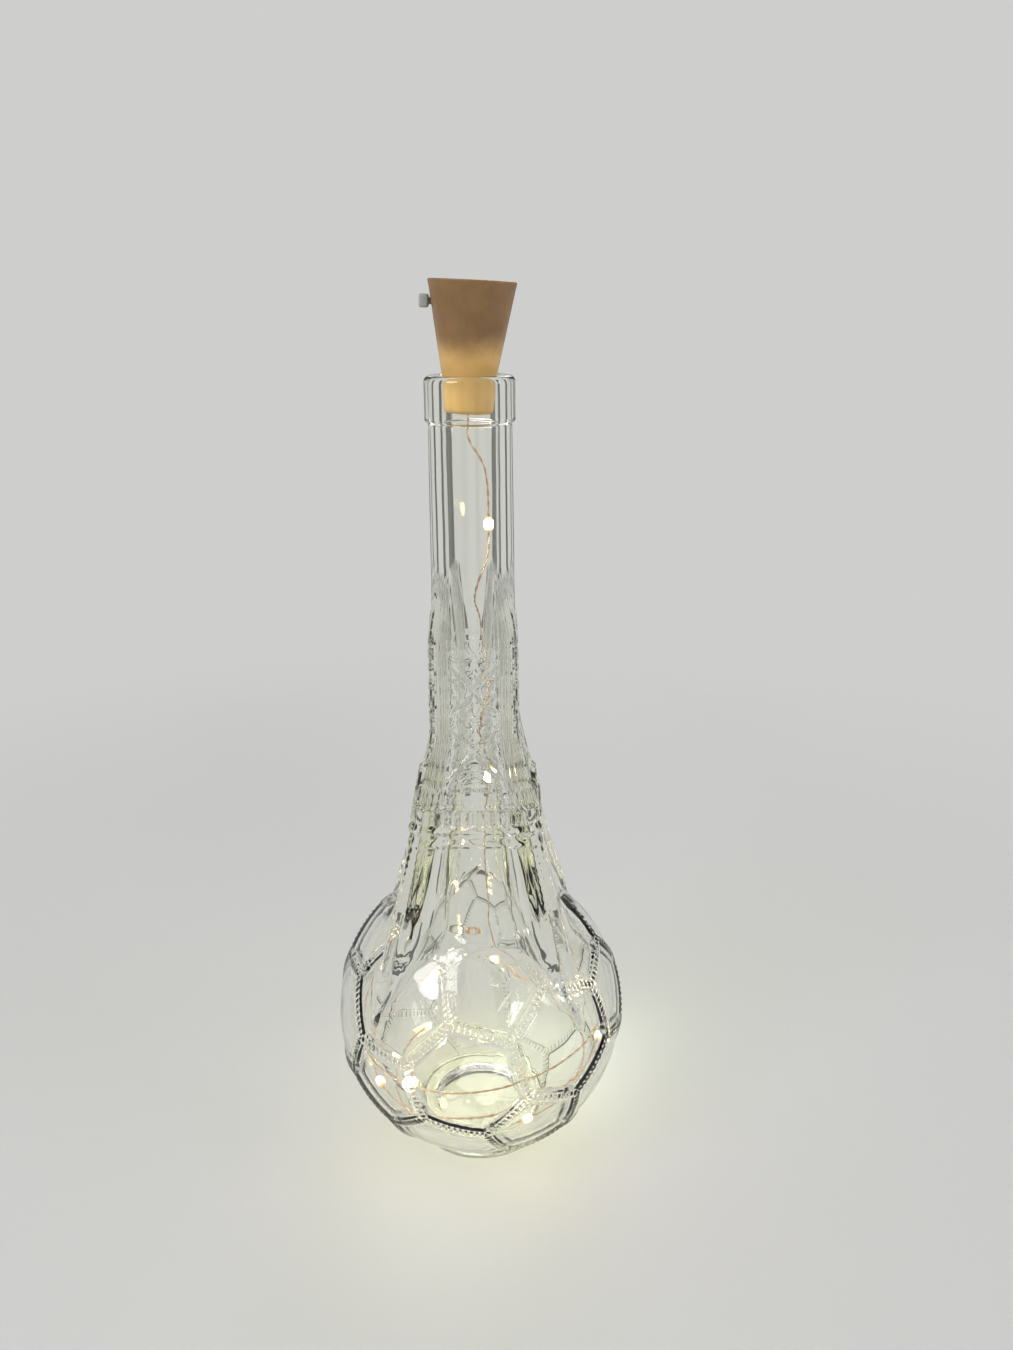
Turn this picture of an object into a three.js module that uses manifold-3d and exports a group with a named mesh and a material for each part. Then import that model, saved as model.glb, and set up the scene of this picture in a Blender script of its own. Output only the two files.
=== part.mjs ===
// A clear glass bottle light. The bottle is a football-like ball on a short foot, with a moulded lattice
// tower on its crown that narrows into a plain round neck. A tapered stopper in the neck holds three button
// cells and a slide switch, and a thin wire with ten drop lights hangs from it and lies in loose loops in the
// ball. Millimetres, +Z up. The origin is the middle of the foot's underside, and the front faces -Y.

import * as THREE from "three";
import { mergeVertices } from "three/addons/utils/BufferGeometryUtils.js";
import Module from "manifold-3d";

const wasm = await Module();
wasm.setup();

const degrees = THREE.MathUtils.degToRad;

// Clearance between pieces that seat on each other
const FIT = 0.3;

// Ball and foot
const BALL_RADIUS = 53;
const BALL_WALL = 4;
const SEAM_RIDGE = 0.8;
const SEAM_HALF_WIDTH = 2;
const PANEL_TILT = degrees(49);
const PANEL_TURN = degrees(7);
const FOOT_RADIUS = 25.5;
const FOOT_HEIGHT = 4.8;
const FOOT_CHAMFER = 1.2;
const STANDING_RING = 6;
const PUSH_UP = 3;
const BASE_THICKNESS = 6;

// Heights of the tower, stacked on the ball's crown
const ARCH_HEIGHT = 24.2;
const PLATFORM_HEIGHT = 7.3;
const BALUSTRADE_HEIGHT = 6.7;
const UPPER_STAGE = 79;
const NECK_HEIGHT = 43.5;
const COLLAR_HEIGHT = 14;

// Half-widths of the tower at its legs, measured square to its faces
const LEG_FOOT_HALF = 35;
const LEG_KNEE_HALF = 32.1;
const LEG_CROWN_HALF = 28.3;
const PLATFORM_HALF = 22.8;
const BALUSTRADE_HALF = 21;
const LEG_WIDTH = 7.8;
const LEG_PROUD = 1.4;
const LEG_CHAMFER = 4;
const LEG_DROP = 31;
const KNEE_DROP = 14;

// Platform mouldings, the rail over the balustrade, and the balusters between the legs
const LEDGE_HEIGHT = 2.7;
const LEDGE_PROUD = 0.6;
const LEDGE_CHAMFER = 0.7;
const RAIL_HEIGHT = 1.5;
const BALUSTER_PITCH = 3.4;
const BALUSTER_WIDTH = 1.3;
const BALUSTER_PROUD = 0.7;

// Upper stage: its flared foot, the ribbed strips on its corners, and the braces between them
const UPPER_HALF = 14.5;
const FLARE_FOOT_HALF = 19.2;
const FLARE_HEIGHT = 24;
const FLARE_CURVE = 1.3;
const STRIP_WIDTH = 7;
const STRIP_TOP_WIDTH = 4.5;
const STRIP_PROUD = 0.7;
const STRIP_CHAMFER = 2.6;
const STRIP_GROOVE = 0.6;
const STRIP_SINK = 26;
const BRACE_FOOT = 6;
const BRACE_PANELS = 2;
const BRACE_PANEL_HEIGHT = 22;
const BRACE_WIDTH = 1.2;
const BRACE_PROUD = 0.5;

// Squareness of the tower's rings, where 2 is round, and how fast the upper stage turns square downwards
const ROUND_POWER = 2;
const UPPER_POWER = 8;
const LEG_POWER = 9;
const UPPER_SQUARING = 1.5;

// Round neck and collar
const NECK_FOOT_RADIUS = 13.5;
const NECK_TOP_RADIUS = 13.1;
const COLLAR_RADIUS = 14.1;
const COLLAR_ROUND = 2;
const BORE_RADIUS = 8.75;
const MOUTH_CHAMFER = 0.8;

// Stopper
const LEAN = degrees(3);
const SEAT_DEPTH = 11;
const TIP_RADIUS = 7.75;
const TIP_ROUND = 1.5;
const TIP_THICKNESS = 2;
const TAPER = 0.181;
const SHELL_WALL = 1.8;
const LID_RIM = 1;
const LID_THICKNESS = 2.4;
const LID_NOTCH = 4;
const LID_NOTCH_DEPTH = 0.9;
const TOP_CHAMFER = 0.4;

// Cells, holder and contacts
const CELL_DIAMETER = 11.6;
const CELL_HEIGHT = 5.4;
const CELL_CAP_RADIUS = 4.7;
const CELL_STEP = 0.6;
const CELL_COUNT = 3;
const HOLDER_WALL = 0.9;
const HOLDER_FLOOR = 1;
const SPRING_HEIGHT = 1.6;
const SPRING_WIRE = 0.45;
const SPRING_RADIUS = 4.2;
const SPRING_TOP_RADIUS = 2.4;
const SPRING_TURNS = 2.5;
const CONTACT_THICKNESS = 0.4;
const CONTACT_RADIUS = 4.6;
const CONTACT_TONGUE = 2.4;

// Slide switch
const SWITCH_HEIGHT = 6.6;
const SWITCH_WIDTH = 4;
const SWITCH_DEPTH = 1.8;
const SWITCH_TRAVEL = 2;
const STEM_HEIGHT = 2;
const STEM_WIDTH = 1.8;
const KNOB_HEIGHT = 4;
const KNOB_WIDTH = 3.6;
const KNOB_DEPTH = 2.9;
const KNOB_ROUND = 0.7;
const TERMINAL_COUNT = 3;
const TERMINAL_LENGTH = 1.8;
const TERMINAL_WIDTH = 0.6;
const TERMINAL_PITCH = 1.3;

// Light string
const WIRE_DIAMETER = 0.8;
const GROMMET_RADIUS = 1.8;
const GROMMET_FLANGE = 2.9;
const GROMMET_FLANGE_HEIGHT = 0.8;
const INNER_LEAD_OUT = 1;
const LED_COUNT = 10;
const LED_FIRST = 34.5;
const LED_PITCH = 100;
const LED_LENGTH = 4.6;
const LED_BARREL = 1.84;
const LED_RADIUS = 1.45;
const LED_END_RADIUS = 1.1;
const WIRE_TAIL = 5;
const LOOP_TOP = 8;
const LOOP_BOTTOM = 36.5;
const LOOP_LEAN = 8;
const LOOP_START = degrees(70);
const LOOP_SAG = 3;
const LOOP_SAGS_PER_TURN = 3;
const LOOP_SAG_START = 1;
const LOOP_MEAN_REACH = 0.82;

// Facets
const ROUND_SIDES = 40;
const SMALL_SIDES = 24;
const TOWER_SIDES = 24;
const SEAM_STEPS = 3;
const CORD_SIDES = 8;
const LOOP_SIDES = 6;
const LED_SIDES = 8;
const SPRING_SIDES = 5;
const TOWER_RINGS = 6;
const CAVITY_RINGS = 18;
const ROUNDING_STEPS = 4;
const LOOP_STEPS = 24;
const LOOP_STEPS_PER_LED = 10;
const NECK_STEPS_TO_LED = 7.5;
const LEAD_STEPS = 9;

// Levels worked out from the sizes above
const ballCentre = FOOT_HEIGHT + Math.sqrt(BALL_RADIUS ** 2 - FOOT_RADIUS ** 2);
const crown = ballCentre + BALL_RADIUS;
const platform = crown + ARCH_HEIGHT;
const balustrade = platform + PLATFORM_HEIGHT;
const upperFoot = balustrade + BALUSTRADE_HEIGHT;
const neckFoot = upperFoot + UPPER_STAGE;
const collarFoot = neckFoot + NECK_HEIGHT;
const mouth = collarFoot + COLLAR_HEIGHT;
const cavityRadius = BALL_RADIUS - SEAM_RIDGE - BALL_WALL;
const neckWall = NECK_FOOT_RADIUS - BORE_RADIUS;

const glass = new THREE.MeshPhysicalMaterial({ color: 0xe4ead6, roughness: 0.05, transmission: 0.9 });
const cork = new THREE.MeshStandardMaterial({ color: 0xb9803f, roughness: 0.5 });
const lidCork = new THREE.MeshStandardMaterial({ color: 0xa8743a, roughness: 0.55 });
const greyPlastic = new THREE.MeshStandardMaterial({ color: 0x9aa09c, roughness: 0.4 });
const blackPlastic = new THREE.MeshStandardMaterial({ color: 0x1d1d1f, roughness: 0.6 });
const steel = new THREE.MeshStandardMaterial({ color: 0xc3c6c8, roughness: 0.3, metalness: 1 });
const brass = new THREE.MeshStandardMaterial({ color: 0xc8a44e, roughness: 0.35, metalness: 1 });
const wireMetal = new THREE.MeshStandardMaterial({ color: 0xb9a58a, roughness: 0.35, metalness: 0.8 });
const warmDrop = new THREE.MeshStandardMaterial({ color: 0xffe3b0, roughness: 0.2, emissive: 0xffc46b });

const flat = (x, y) => new THREE.Vector2(x, y);
const space = (x, y, z) => new THREE.Vector3(x, y, z);

// A smooth curve through [level, value] pairs, as a function of the level
function smoothThrough(pairs) {
  const curve = new THREE.CubicInterpolant(pairs.map((p) => p[0]), pairs.map((p) => p[1]), 1);
  return (level) => curve.evaluate(level)[0];
}

// Closed solid from a three.js geometry, for joins and cuts
function solid(geometry) {
  const bare = geometry.clone();
  bare.deleteAttribute("normal");
  bare.deleteAttribute("uv");
  const merged = mergeVertices(bare, 1e-4);
  const mesh = { numProp: 3, vertProperties: merged.attributes.position.array };
  mesh.triVerts = new Uint32Array(merged.index.array);
  return new wasm.Manifold(new wasm.Mesh(mesh));
}

function geometryOf(body) {
  const mesh = body.getMesh();
  const geometry = new THREE.BufferGeometry();
  geometry.setAttribute("position", new THREE.BufferAttribute(new Float32Array(mesh.vertProperties), 3));
  geometry.setIndex(new THREE.BufferAttribute(new Uint32Array(mesh.triVerts), 1));
  geometry.computeVertexNormals();
  return geometry;
}

// Profile of [radius, level] pairs turned round the Z axis, going up its outer side
function turned(profile, sides) {
  const points = profile.map((p) => flat(p[0], p[1]));
  return new THREE.LatheGeometry(points, sides).rotateX(Math.PI / 2);
}

function boxAt(width, depth, height, x, y, z) {
  return new THREE.BoxGeometry(width, depth, height).translate(x, y, z);
}

// Skin over rings of points with as many points each, from the lowest up, with a fan over each end
function loft(rings) {
  const sides = rings[0].length;
  const middle = (ring) => ring.reduce((sum, p) => sum.add(p), space(0, 0, 0)).divideScalar(sides);
  const points = [...rings.flat(), middle(rings[0]), middle(rings.at(-1))];
  const index = [];
  for (let level = 0; level + 1 < rings.length; level += 1) {
    for (let side = 0; side < sides; side += 1) {
      const a = level * sides + side;
      const b = level * sides + ((side + 1) % sides);
      index.push(a, b, a + sides, b, b + sides, a + sides);
    }
  }
  const lowMiddle = rings.length * sides;
  const top = lowMiddle - sides;
  for (let side = 0; side < sides; side += 1) {
    const next = (side + 1) % sides;
    index.push(lowMiddle, next, side);
    index.push(lowMiddle + 1, top + side, top + next);
  }
  return new THREE.BufferGeometry().setFromPoints(points).setIndex(index);
}

// Ring of a rounded square: power 2 is a circle, and a high power a square
function squareRing(half, power, level) {
  return Array.from({ length: TOWER_SIDES }, (unused, side) => {
    const angle = (side / TOWER_SIDES) * 2 * Math.PI;
    const x = Math.cos(angle);
    const y = Math.sin(angle);
    const reach = half / (Math.abs(x) ** power + Math.abs(y) ** power) ** (1 / power);
    return space(x * reach, y * reach, level);
  });
}

// Directions of the twelve pentagons of a football, one of them up
function pentagonCentres() {
  const latitude = Math.atan(0.5);
  const centres = [space(0, 0, 1), space(0, 0, -1)];
  for (let fifth = 0; fifth < 5; fifth += 1) {
    const turn = (fifth / 5) * 2 * Math.PI;
    const flip = turn + Math.PI / 5;
    const reach = Math.cos(latitude);
    centres.push(space(reach * Math.cos(turn), reach * Math.sin(turn), Math.sin(latitude)));
    centres.push(space(reach * Math.cos(flip), reach * Math.sin(flip), -Math.sin(latitude)));
  }
  return centres;
}

// The football's panels: 12 pentagons and 20 hexagons, each with its centre and its corners in order
function footballPanels() {
  const centres = pentagonCentres();
  const adjacent = (a, b) => Math.abs(a.dot(b) - 1 / Math.sqrt(5)) < 1e-6;
  const third = (a, b) => a.clone().lerp(b, 1 / 3).normalize();
  const panels = [];
  for (const centre of centres) {
    const around = centres.filter((other) => adjacent(centre, other));
    const corners = around.map((other) => third(centre, other));
    panels.push({ centre, corners });
  }
  centres.forEach((a, i) => {
    centres.slice(i + 1).forEach((b, j) => {
      centres.slice(i + j + 2).forEach((c) => {
        if (adjacent(a, b) && adjacent(b, c) && adjacent(c, a)) {
          const centre = a.clone().add(b).add(c).normalize();
          const corners = [third(a, b), third(b, a), third(b, c), third(c, b), third(c, a), third(a, c)];
          panels.push({ centre, corners });
        }
      });
    });
  });
  for (const { centre, corners } of panels) {
    const across = corners[0].clone().projectOnPlane(centre).normalize();
    const along = centre.clone().cross(across);
    const turn = (corner) => Math.atan2(corner.dot(along), corner.dot(across));
    corners.sort((a, b) => turn(a) - turn(b));
  }
  return panels;
}

// Ball whose panels sit below raised seams: each panel is a seam band, a flat band and a fan
function footballGeometry() {
  const panelRadius = BALL_RADIUS - SEAM_RIDGE;
  const triangles = [];
  for (const { centre, corners } of footballPanels()) {
    const rim = corners.flatMap((corner, i) => {
      const next = corners[(i + 1) % corners.length];
      const along = (unused, step) => corner.clone().lerp(next, step / SEAM_STEPS);
      return Array.from({ length: SEAM_STEPS }, along);
    });
    const edgeMiddle = corners[0].clone().add(corners[1]).normalize();
    const apothem = BALL_RADIUS * centre.angleTo(edgeMiddle);
    const band = SEAM_HALF_WIDTH / apothem;
    const ringAt = (share, radius) => rim.map((p) => p.clone().lerp(centre, share).setLength(radius));
    const rings = [ringAt(0, BALL_RADIUS), ringAt(band, panelRadius), ringAt((1 + band) / 2, panelRadius)];
    const middle = centre.clone().setLength(panelRadius);
    rim.forEach((unused, i) => {
      const next = (i + 1) % rim.length;
      for (let ring = 0; ring < 2; ring += 1) {
        const [outer, inner] = [rings[ring], rings[ring + 1]];
        triangles.push(outer[i], outer[next], inner[i], outer[next], inner[next], inner[i]);
      }
      triangles.push(rings[2][i], rings[2][next], middle);
    });
  }
  const ball = new THREE.BufferGeometry().setFromPoints(triangles);
  return ball.rotateX(PANEL_TILT).rotateZ(PANEL_TURN).translate(0, 0, ballCentre);
}

// Outer half-width of the four legs, from where they end on the ball up to the balustrade's rail
const legHalf = smoothThrough([
  [crown - LEG_DROP, LEG_FOOT_HALF],
  [crown - KNEE_DROP, LEG_KNEE_HALF],
  [crown, LEG_CROWN_HALF],
  [platform, PLATFORM_HALF],
  [upperFoot, BALUSTRADE_HALF],
]);

// Share of the upper stage that is left above a level: 1 at its foot and 0 at the neck's foot
const upperShare = (level) => (neckFoot - level) / UPPER_STAGE;

// Half-width of the upper stage between its corner strips, flared at the foot
function upperHalf(level) {
  const left = THREE.MathUtils.clamp(1 - (level - upperFoot) / FLARE_HEIGHT, 0, 1);
  const flare = (FLARE_FOOT_HALF - UPPER_HALF) * left ** FLARE_CURVE;
  return THREE.MathUtils.lerp(NECK_FOOT_RADIUS, UPPER_HALF, upperShare(level)) + flare;
}

const upperPower = (level) => ROUND_POWER + (UPPER_POWER - ROUND_POWER) * upperShare(level) ** UPPER_SQUARING;

// Levels spread evenly from low to high
const levels = (low, high, count) =>
  Array.from({ length: count }, (unused, i) => THREE.MathUtils.lerp(low, high, i / (count - 1)));

// Body of the tower between its legs: square over the ball, and round from the neck's foot up
function towerCore() {
  const lower = levels(crown - LEG_DROP, upperFoot - FIT, TOWER_RINGS);
  const flare = levels(upperFoot, upperFoot + FLARE_HEIGHT, TOWER_RINGS / 2);
  const upper = levels(upperFoot + FLARE_HEIGHT, neckFoot, TOWER_RINGS / 2).slice(1);
  const rings = lower.map((level) => squareRing(legHalf(level) - LEG_PROUD, LEG_POWER, level));
  rings.push(...[...flare, ...upper].map((level) => squareRing(upperHalf(level), upperPower(level), level)));
  rings.push(squareRing(NECK_TOP_RADIUS, ROUND_POWER, collarFoot + COLLAR_ROUND));
  return loft(rings);
}

// Splayed leg with a chamfered outer edge, for the corner at +X +Y, from its end on the ball up to the rail
function leg() {
  const section = (half, level) => [
    space(half - LEG_WIDTH, half - LEG_WIDTH, level),
    space(half, half - LEG_WIDTH, level),
    space(half, half - LEG_CHAMFER, level),
    space(half - LEG_CHAMFER, half, level),
    space(half - LEG_WIDTH, half, level),
  ];
  const stations = levels(crown - LEG_DROP, upperFoot - LEDGE_CHAMFER, TOWER_RINGS);
  const rings = stations.map((level) => section(legHalf(level), level));
  return loft([...rings, section(BALUSTRADE_HALF - LEDGE_CHAMFER, upperFoot)]);
}

function stripWidth(level) {
  return THREE.MathUtils.lerp(STRIP_TOP_WIDTH, STRIP_WIDTH, Math.min(1, upperShare(level)));
}

// Ribbed strip on a corner of the upper stage, for the corner at +X +Y, which sinks into the round neck
function cornerStrip() {
  const round = Math.SQRT1_2 * NECK_FOOT_RADIUS;
  const low = levels(upperFoot - RAIL_HEIGHT, upperFoot + FLARE_HEIGHT, TOWER_RINGS / 2 + 1);
  const high = levels(upperFoot + FLARE_HEIGHT, neckFoot, TOWER_RINGS / 2 + 1).slice(1);
  return loft(
    [...low, ...high].map((level) => {
      const sunk = Math.max(0, 1 - (neckFoot - level) / STRIP_SINK);
      const half = THREE.MathUtils.lerp(upperHalf(level) + STRIP_PROUD, round, sunk);
      const width = stripWidth(level);
      const rib = (width - STRIP_CHAMFER) / 4;
      const side = [0, 1, 2, 3, 4].map((i) => flat(half - (i % 2) * STRIP_GROOVE, half - width + i * rib));
      const edge = half - STRIP_CHAMFER / 2 - STRIP_GROOVE;
      const other = side.map((p) => flat(p.y, p.x)).reverse();
      const inner = flat(half - width, half - width);
      return [inner, ...side, flat(edge, edge), ...other].map((p) => space(p.x, p.y, level));
    }),
  );
}

// Moulding round the tower, a square ring with chamfered edges
function ledge(low, high, half) {
  return loft([
    squareRing(half - LEDGE_CHAMFER, LEG_POWER, low),
    squareRing(half, LEG_POWER, low + LEDGE_CHAMFER),
    squareRing(half, LEG_POWER, high - LEDGE_CHAMFER),
    squareRing(half - LEDGE_CHAMFER, LEG_POWER, high),
  ]);
}

function mouldings() {
  const lowEdge = platform + LEDGE_HEIGHT;
  const highEdge = balustrade - LEDGE_HEIGHT;
  return [
    ledge(platform, lowEdge, legHalf(lowEdge) + LEDGE_PROUD / 2),
    ledge(highEdge, balustrade, legHalf(highEdge) + LEDGE_PROUD),
    ledge(upperFoot - RAIL_HEIGHT, upperFoot, BALUSTRADE_HALF),
  ];
}

// Upright bars between the legs on the face at +X, under the rail
function balusters() {
  const reach = legHalf(balustrade) - LEG_PROUD;
  const room = 2 * (reach - LEG_WIDTH);
  const count = Math.floor(room / BALUSTER_PITCH);
  const depth = 2 * BALUSTER_PROUD + LEG_PROUD;
  const out = reach + BALUSTER_PROUD - depth / 2;
  const middle = (balustrade + upperFoot) / 2;
  return Array.from({ length: count }, (unused, i) => {
    const across = (i - (count - 1) / 2) * BALUSTER_PITCH;
    return boxAt(depth, BALUSTER_WIDTH, BALUSTRADE_HEIGHT, out, across, middle);
  });
}

// Bar on the upper stage's face at +X, between two places given across the face and up
function brace(from, to) {
  const place = ([across, level]) => space(upperHalf(level) + BRACE_PROUD - BRACE_WIDTH, across, level);
  const [start, end] = [place(from), place(to)];
  const along = end.clone().sub(start).normalize();
  const out = space(1, 0, 0).projectOnPlane(along).normalize();
  const frame = new THREE.Matrix4().makeBasis(out, along.clone().cross(out), along);
  const bar = new THREE.BoxGeometry(2 * BRACE_WIDTH, BRACE_WIDTH, start.distanceTo(end));
  return bar.applyMatrix4(frame.setPosition(start.add(end).divideScalar(2)));
}

// Crossed braces in panels up the face at +X
function braces() {
  const room = (level) => upperHalf(level) + STRIP_PROUD - stripWidth(level);
  return Array.from({ length: BRACE_PANELS }, (unused, panel) => {
    const low = upperFoot + BRACE_FOOT + panel * BRACE_PANEL_HEIGHT;
    const high = low + BRACE_PANEL_HEIGHT - BRACE_WIDTH;
    const [below, above] = [room(low), room(high)];
    return [brace([-below, low], [above, high]), brace([below, low], [-above, high])];
  }).flat();
}

function collar() {
  const rounding = levels(0, 90, ROUNDING_STEPS).map((turn) => [
    COLLAR_RADIUS - COLLAR_ROUND + COLLAR_ROUND * Math.cos(degrees(turn)),
    mouth - COLLAR_ROUND + COLLAR_ROUND * Math.sin(degrees(turn)),
  ]);
  const low = collarFoot + COLLAR_ROUND / 2;
  const start = [[0, collarFoot], [NECK_TOP_RADIUS, collarFoot], [COLLAR_RADIUS, low]];
  return turned([...start, ...rounding, [0, mouth]], ROUND_SIDES);
}

function foot() {
  const inBall = FOOT_HEIGHT + BALL_WALL;
  return turned(
    [[0, 0], [FOOT_RADIUS - FOOT_CHAMFER, 0], [FOOT_RADIUS, FOOT_CHAMFER], [FOOT_RADIUS, FOOT_HEIGHT],
      [FOOT_RADIUS - FOOT_CHAMFER, inBall], [0, inBall]],
    ROUND_SIDES,
  );
}

// Hollow under the foot, inside the standing ring
function pushUp() {
  const reach = FOOT_RADIUS - FOOT_CHAMFER - STANDING_RING;
  const dome = levels(0, 90, ROUNDING_STEPS).map((turn) => [
    reach * Math.cos(degrees(turn)),
    PUSH_UP * Math.sin(degrees(turn)),
  ]);
  dome.pop();
  return turned([[0, -BALL_WALL], [reach, -BALL_WALL], ...dome, [0, PUSH_UP]], ROUND_SIDES);
}

// Inside of the ball, with a level floor of thick glass
function ballCavity() {
  const floor = PUSH_UP + BASE_THICKNESS;
  const lowest = Math.asin((floor - ballCentre) / cavityRadius);
  const arc = levels(lowest, Math.PI / 2, CAVITY_RINGS).map((turn) => [
    cavityRadius * Math.cos(turn),
    ballCentre + cavityRadius * Math.sin(turn),
  ]);
  arc.pop();
  return turned([[0, floor], ...arc, [0, ballCentre + cavityRadius]], ROUND_SIDES);
}

// Inside of the tower and the neck, open at the mouth
function neckCavity() {
  const besideLegs = (level) => [legHalf(level) - LEG_PROUD - neckWall, level];
  const aboveLegs = (level) => [upperHalf(level) - neckWall, level];
  const lower = levels(crown - KNEE_DROP, balustrade, TOWER_RINGS / 2).map(besideLegs);
  const flare = levels(upperFoot, upperFoot + FLARE_HEIGHT, TOWER_RINGS / 2).map(aboveLegs);
  const upper = [...flare, aboveLegs(neckFoot)];
  const above = mouth + MOUTH_CHAMFER;
  const lip = [[BORE_RADIUS, mouth - MOUTH_CHAMFER], [BORE_RADIUS + 2 * MOUTH_CHAMFER, above]];
  return turned([[0, crown - KNEE_DROP], ...lower, ...upper, ...lip, [0, above]], ROUND_SIDES);
}

function glassBottle() {
  let body = solid(footballGeometry()).add(solid(foot())).add(solid(towerCore())).add(solid(collar()));
  for (const moulding of mouldings()) {
    body = body.add(solid(moulding));
  }
  for (let quarter = 0; quarter < 4; quarter += 1) {
    for (const relief of [leg(), cornerStrip(), ...balusters(), ...braces()]) {
      body = body.add(solid(relief.rotateZ((quarter * Math.PI) / 2)));
    }
  }
  const belowFoot = boxAt(4 * BALL_RADIUS, 4 * BALL_RADIUS, BALL_RADIUS, 0, 0, -BALL_RADIUS / 2);
  body = body.subtract(solid(belowFoot)).subtract(solid(pushUp()));
  return geometryOf(body.subtract(solid(ballCavity())).subtract(solid(neckCavity())));
}

// Stopper levels are measured up its own axis from the bottle's mouth
const mouthFit = BORE_RADIUS - FIT;
const plugTaper = (mouthFit - TIP_RADIUS) / SEAT_DEPTH;
const shellRadius = (level) => mouthFit + level * (level > 0 ? TAPER : plugTaper);
const shellLevel = (radius) => (radius - mouthFit) / TAPER;
const cellRadius = CELL_DIAMETER / 2;
const holderRadius = cellRadius + FIT + HOLDER_WALL;
const holderFoot = shellLevel(holderRadius + FIT + SHELL_WALL);
const springFoot = holderFoot + HOLDER_FLOOR + FIT;
const cellFoot = (index) => springFoot + SPRING_HEIGHT + FIT + index * (CELL_HEIGHT + FIT);
const contactFoot = cellFoot(CELL_COUNT);
const switchInner = holderRadius + FIT;
const switchOuter = switchInner + SWITCH_DEPTH;
const switchFoot = shellLevel(Math.hypot(switchOuter, SWITCH_WIDTH / 2) + FIT + SHELL_WALL);
const switchTop = switchFoot + SWITCH_HEIGHT;
const lidFoot = Math.max(contactFoot + CONTACT_THICKNESS, switchTop) + FIT;
const stopperTop = lidFoot + LID_THICKNESS;
const stemLevel = switchFoot + SWITCH_HEIGHT / 2 + SWITCH_TRAVEL / 2;
const lidSeat = (level) => shellRadius(level) - LID_RIM;

function stopperShell() {
  const rounding = levels(-90, 0, ROUNDING_STEPS).map((turn) => [
    TIP_RADIUS - TIP_ROUND + TIP_ROUND * Math.cos(degrees(turn)),
    TIP_ROUND - SEAT_DEPTH + TIP_ROUND * Math.sin(degrees(turn)),
  ]);
  const hole = GROMMET_RADIUS + FIT;
  const ledgeLevel = lidFoot - FIT;
  const inside = TIP_THICKNESS - SEAT_DEPTH;
  const profile = [
    [hole, -SEAT_DEPTH],
    ...rounding,
    [mouthFit, 0],
    [shellRadius(stopperTop - TOP_CHAMFER), stopperTop - TOP_CHAMFER],
    [shellRadius(stopperTop) - TOP_CHAMFER, stopperTop],
    [lidSeat(stopperTop), stopperTop],
    [lidSeat(ledgeLevel), ledgeLevel],
    [shellRadius(ledgeLevel) - SHELL_WALL, ledgeLevel],
    [mouthFit - SHELL_WALL, 0],
    [shellRadius(inside) - SHELL_WALL, inside],
    [hole, inside],
    [hole, -SEAT_DEPTH],
  ];
  const slotHeight = STEM_HEIGHT + SWITCH_TRAVEL + 2 * FIT;
  const slotLevel = stemLevel - SWITCH_TRAVEL / 2;
  const reach = shellRadius(stopperTop);
  const slot = boxAt(reach, STEM_WIDTH + 2 * FIT, slotHeight, -switchInner - reach / 2, 0, slotLevel);
  return geometryOf(solid(turned(profile, ROUND_SIDES)).subtract(solid(slot)));
}

function batteryLid() {
  const rim = lidSeat(stopperTop) - FIT;
  const profile = [[0, lidFoot], [lidSeat(lidFoot) - FIT, lidFoot], [rim, stopperTop - TOP_CHAMFER],
    [rim - TOP_CHAMFER, stopperTop], [0, stopperTop]];
  const notch = boxAt(LID_NOTCH, 2 * LID_NOTCH_DEPTH, 2 * LID_NOTCH_DEPTH, 0, -rim, stopperTop);
  return geometryOf(solid(turned(profile, ROUND_SIDES)).subtract(solid(notch)));
}

function batteryHolder() {
  const hole = WIRE_DIAMETER / 2 + FIT;
  const floor = holderFoot + HOLDER_FLOOR;
  const rim = cellFoot(CELL_COUNT - 1) + CELL_HEIGHT;
  const inside = cellRadius + FIT;
  const base = [[hole, holderFoot], [holderRadius - FIT, holderFoot]];
  const wall = [[holderRadius, floor], [holderRadius, rim], [inside, rim], [inside, floor]];
  return turned([...base, ...wall, [hole, floor], [hole, holderFoot]], SMALL_SIDES);
}

function buttonCell(index) {
  const low = cellFoot(index);
  const round = CELL_STEP / 2;
  const high = low + CELL_HEIGHT;
  const step = low + CELL_STEP;
  return turned(
    [[0, low], [CELL_CAP_RADIUS, low], [CELL_CAP_RADIUS + round, step], [cellRadius - round, step],
      [cellRadius, step + round], [cellRadius, high - round], [cellRadius - round, high], [0, high]],
    SMALL_SIDES,
  );
}

// Round section with its corners on a circle, for tubes along a curve
function roundSection(diameter, sides) {
  const corner = (unused, i) => flat(0, diameter / 2).rotateAround(flat(0, 0), (i / sides) * 2 * Math.PI);
  return new THREE.Shape(Array.from({ length: sides }, corner));
}

function tube(path, diameter, sides, steps) {
  path.arcLengthDivisions = 40 * steps;
  return new THREE.ExtrudeGeometry(roundSection(diameter, sides), { steps, extrudePath: path });
}

function springContact() {
  const stepsPerTurn = 8;
  const steps = stepsPerTurn * SPRING_TURNS;
  const low = springFoot + SPRING_WIRE / 2;
  const rise = SPRING_HEIGHT - SPRING_WIRE;
  const points = Array.from({ length: steps + 1 }, (unused, i) => {
    const reach = THREE.MathUtils.lerp(SPRING_RADIUS, SPRING_TOP_RADIUS, i / steps);
    const angle = (i / stepsPerTurn) * 2 * Math.PI;
    return space(reach * Math.cos(angle), reach * Math.sin(angle), low + (rise * i) / steps);
  });
  return tube(new THREE.CatmullRomCurve3(points), SPRING_WIRE, SPRING_SIDES, steps);
}

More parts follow.
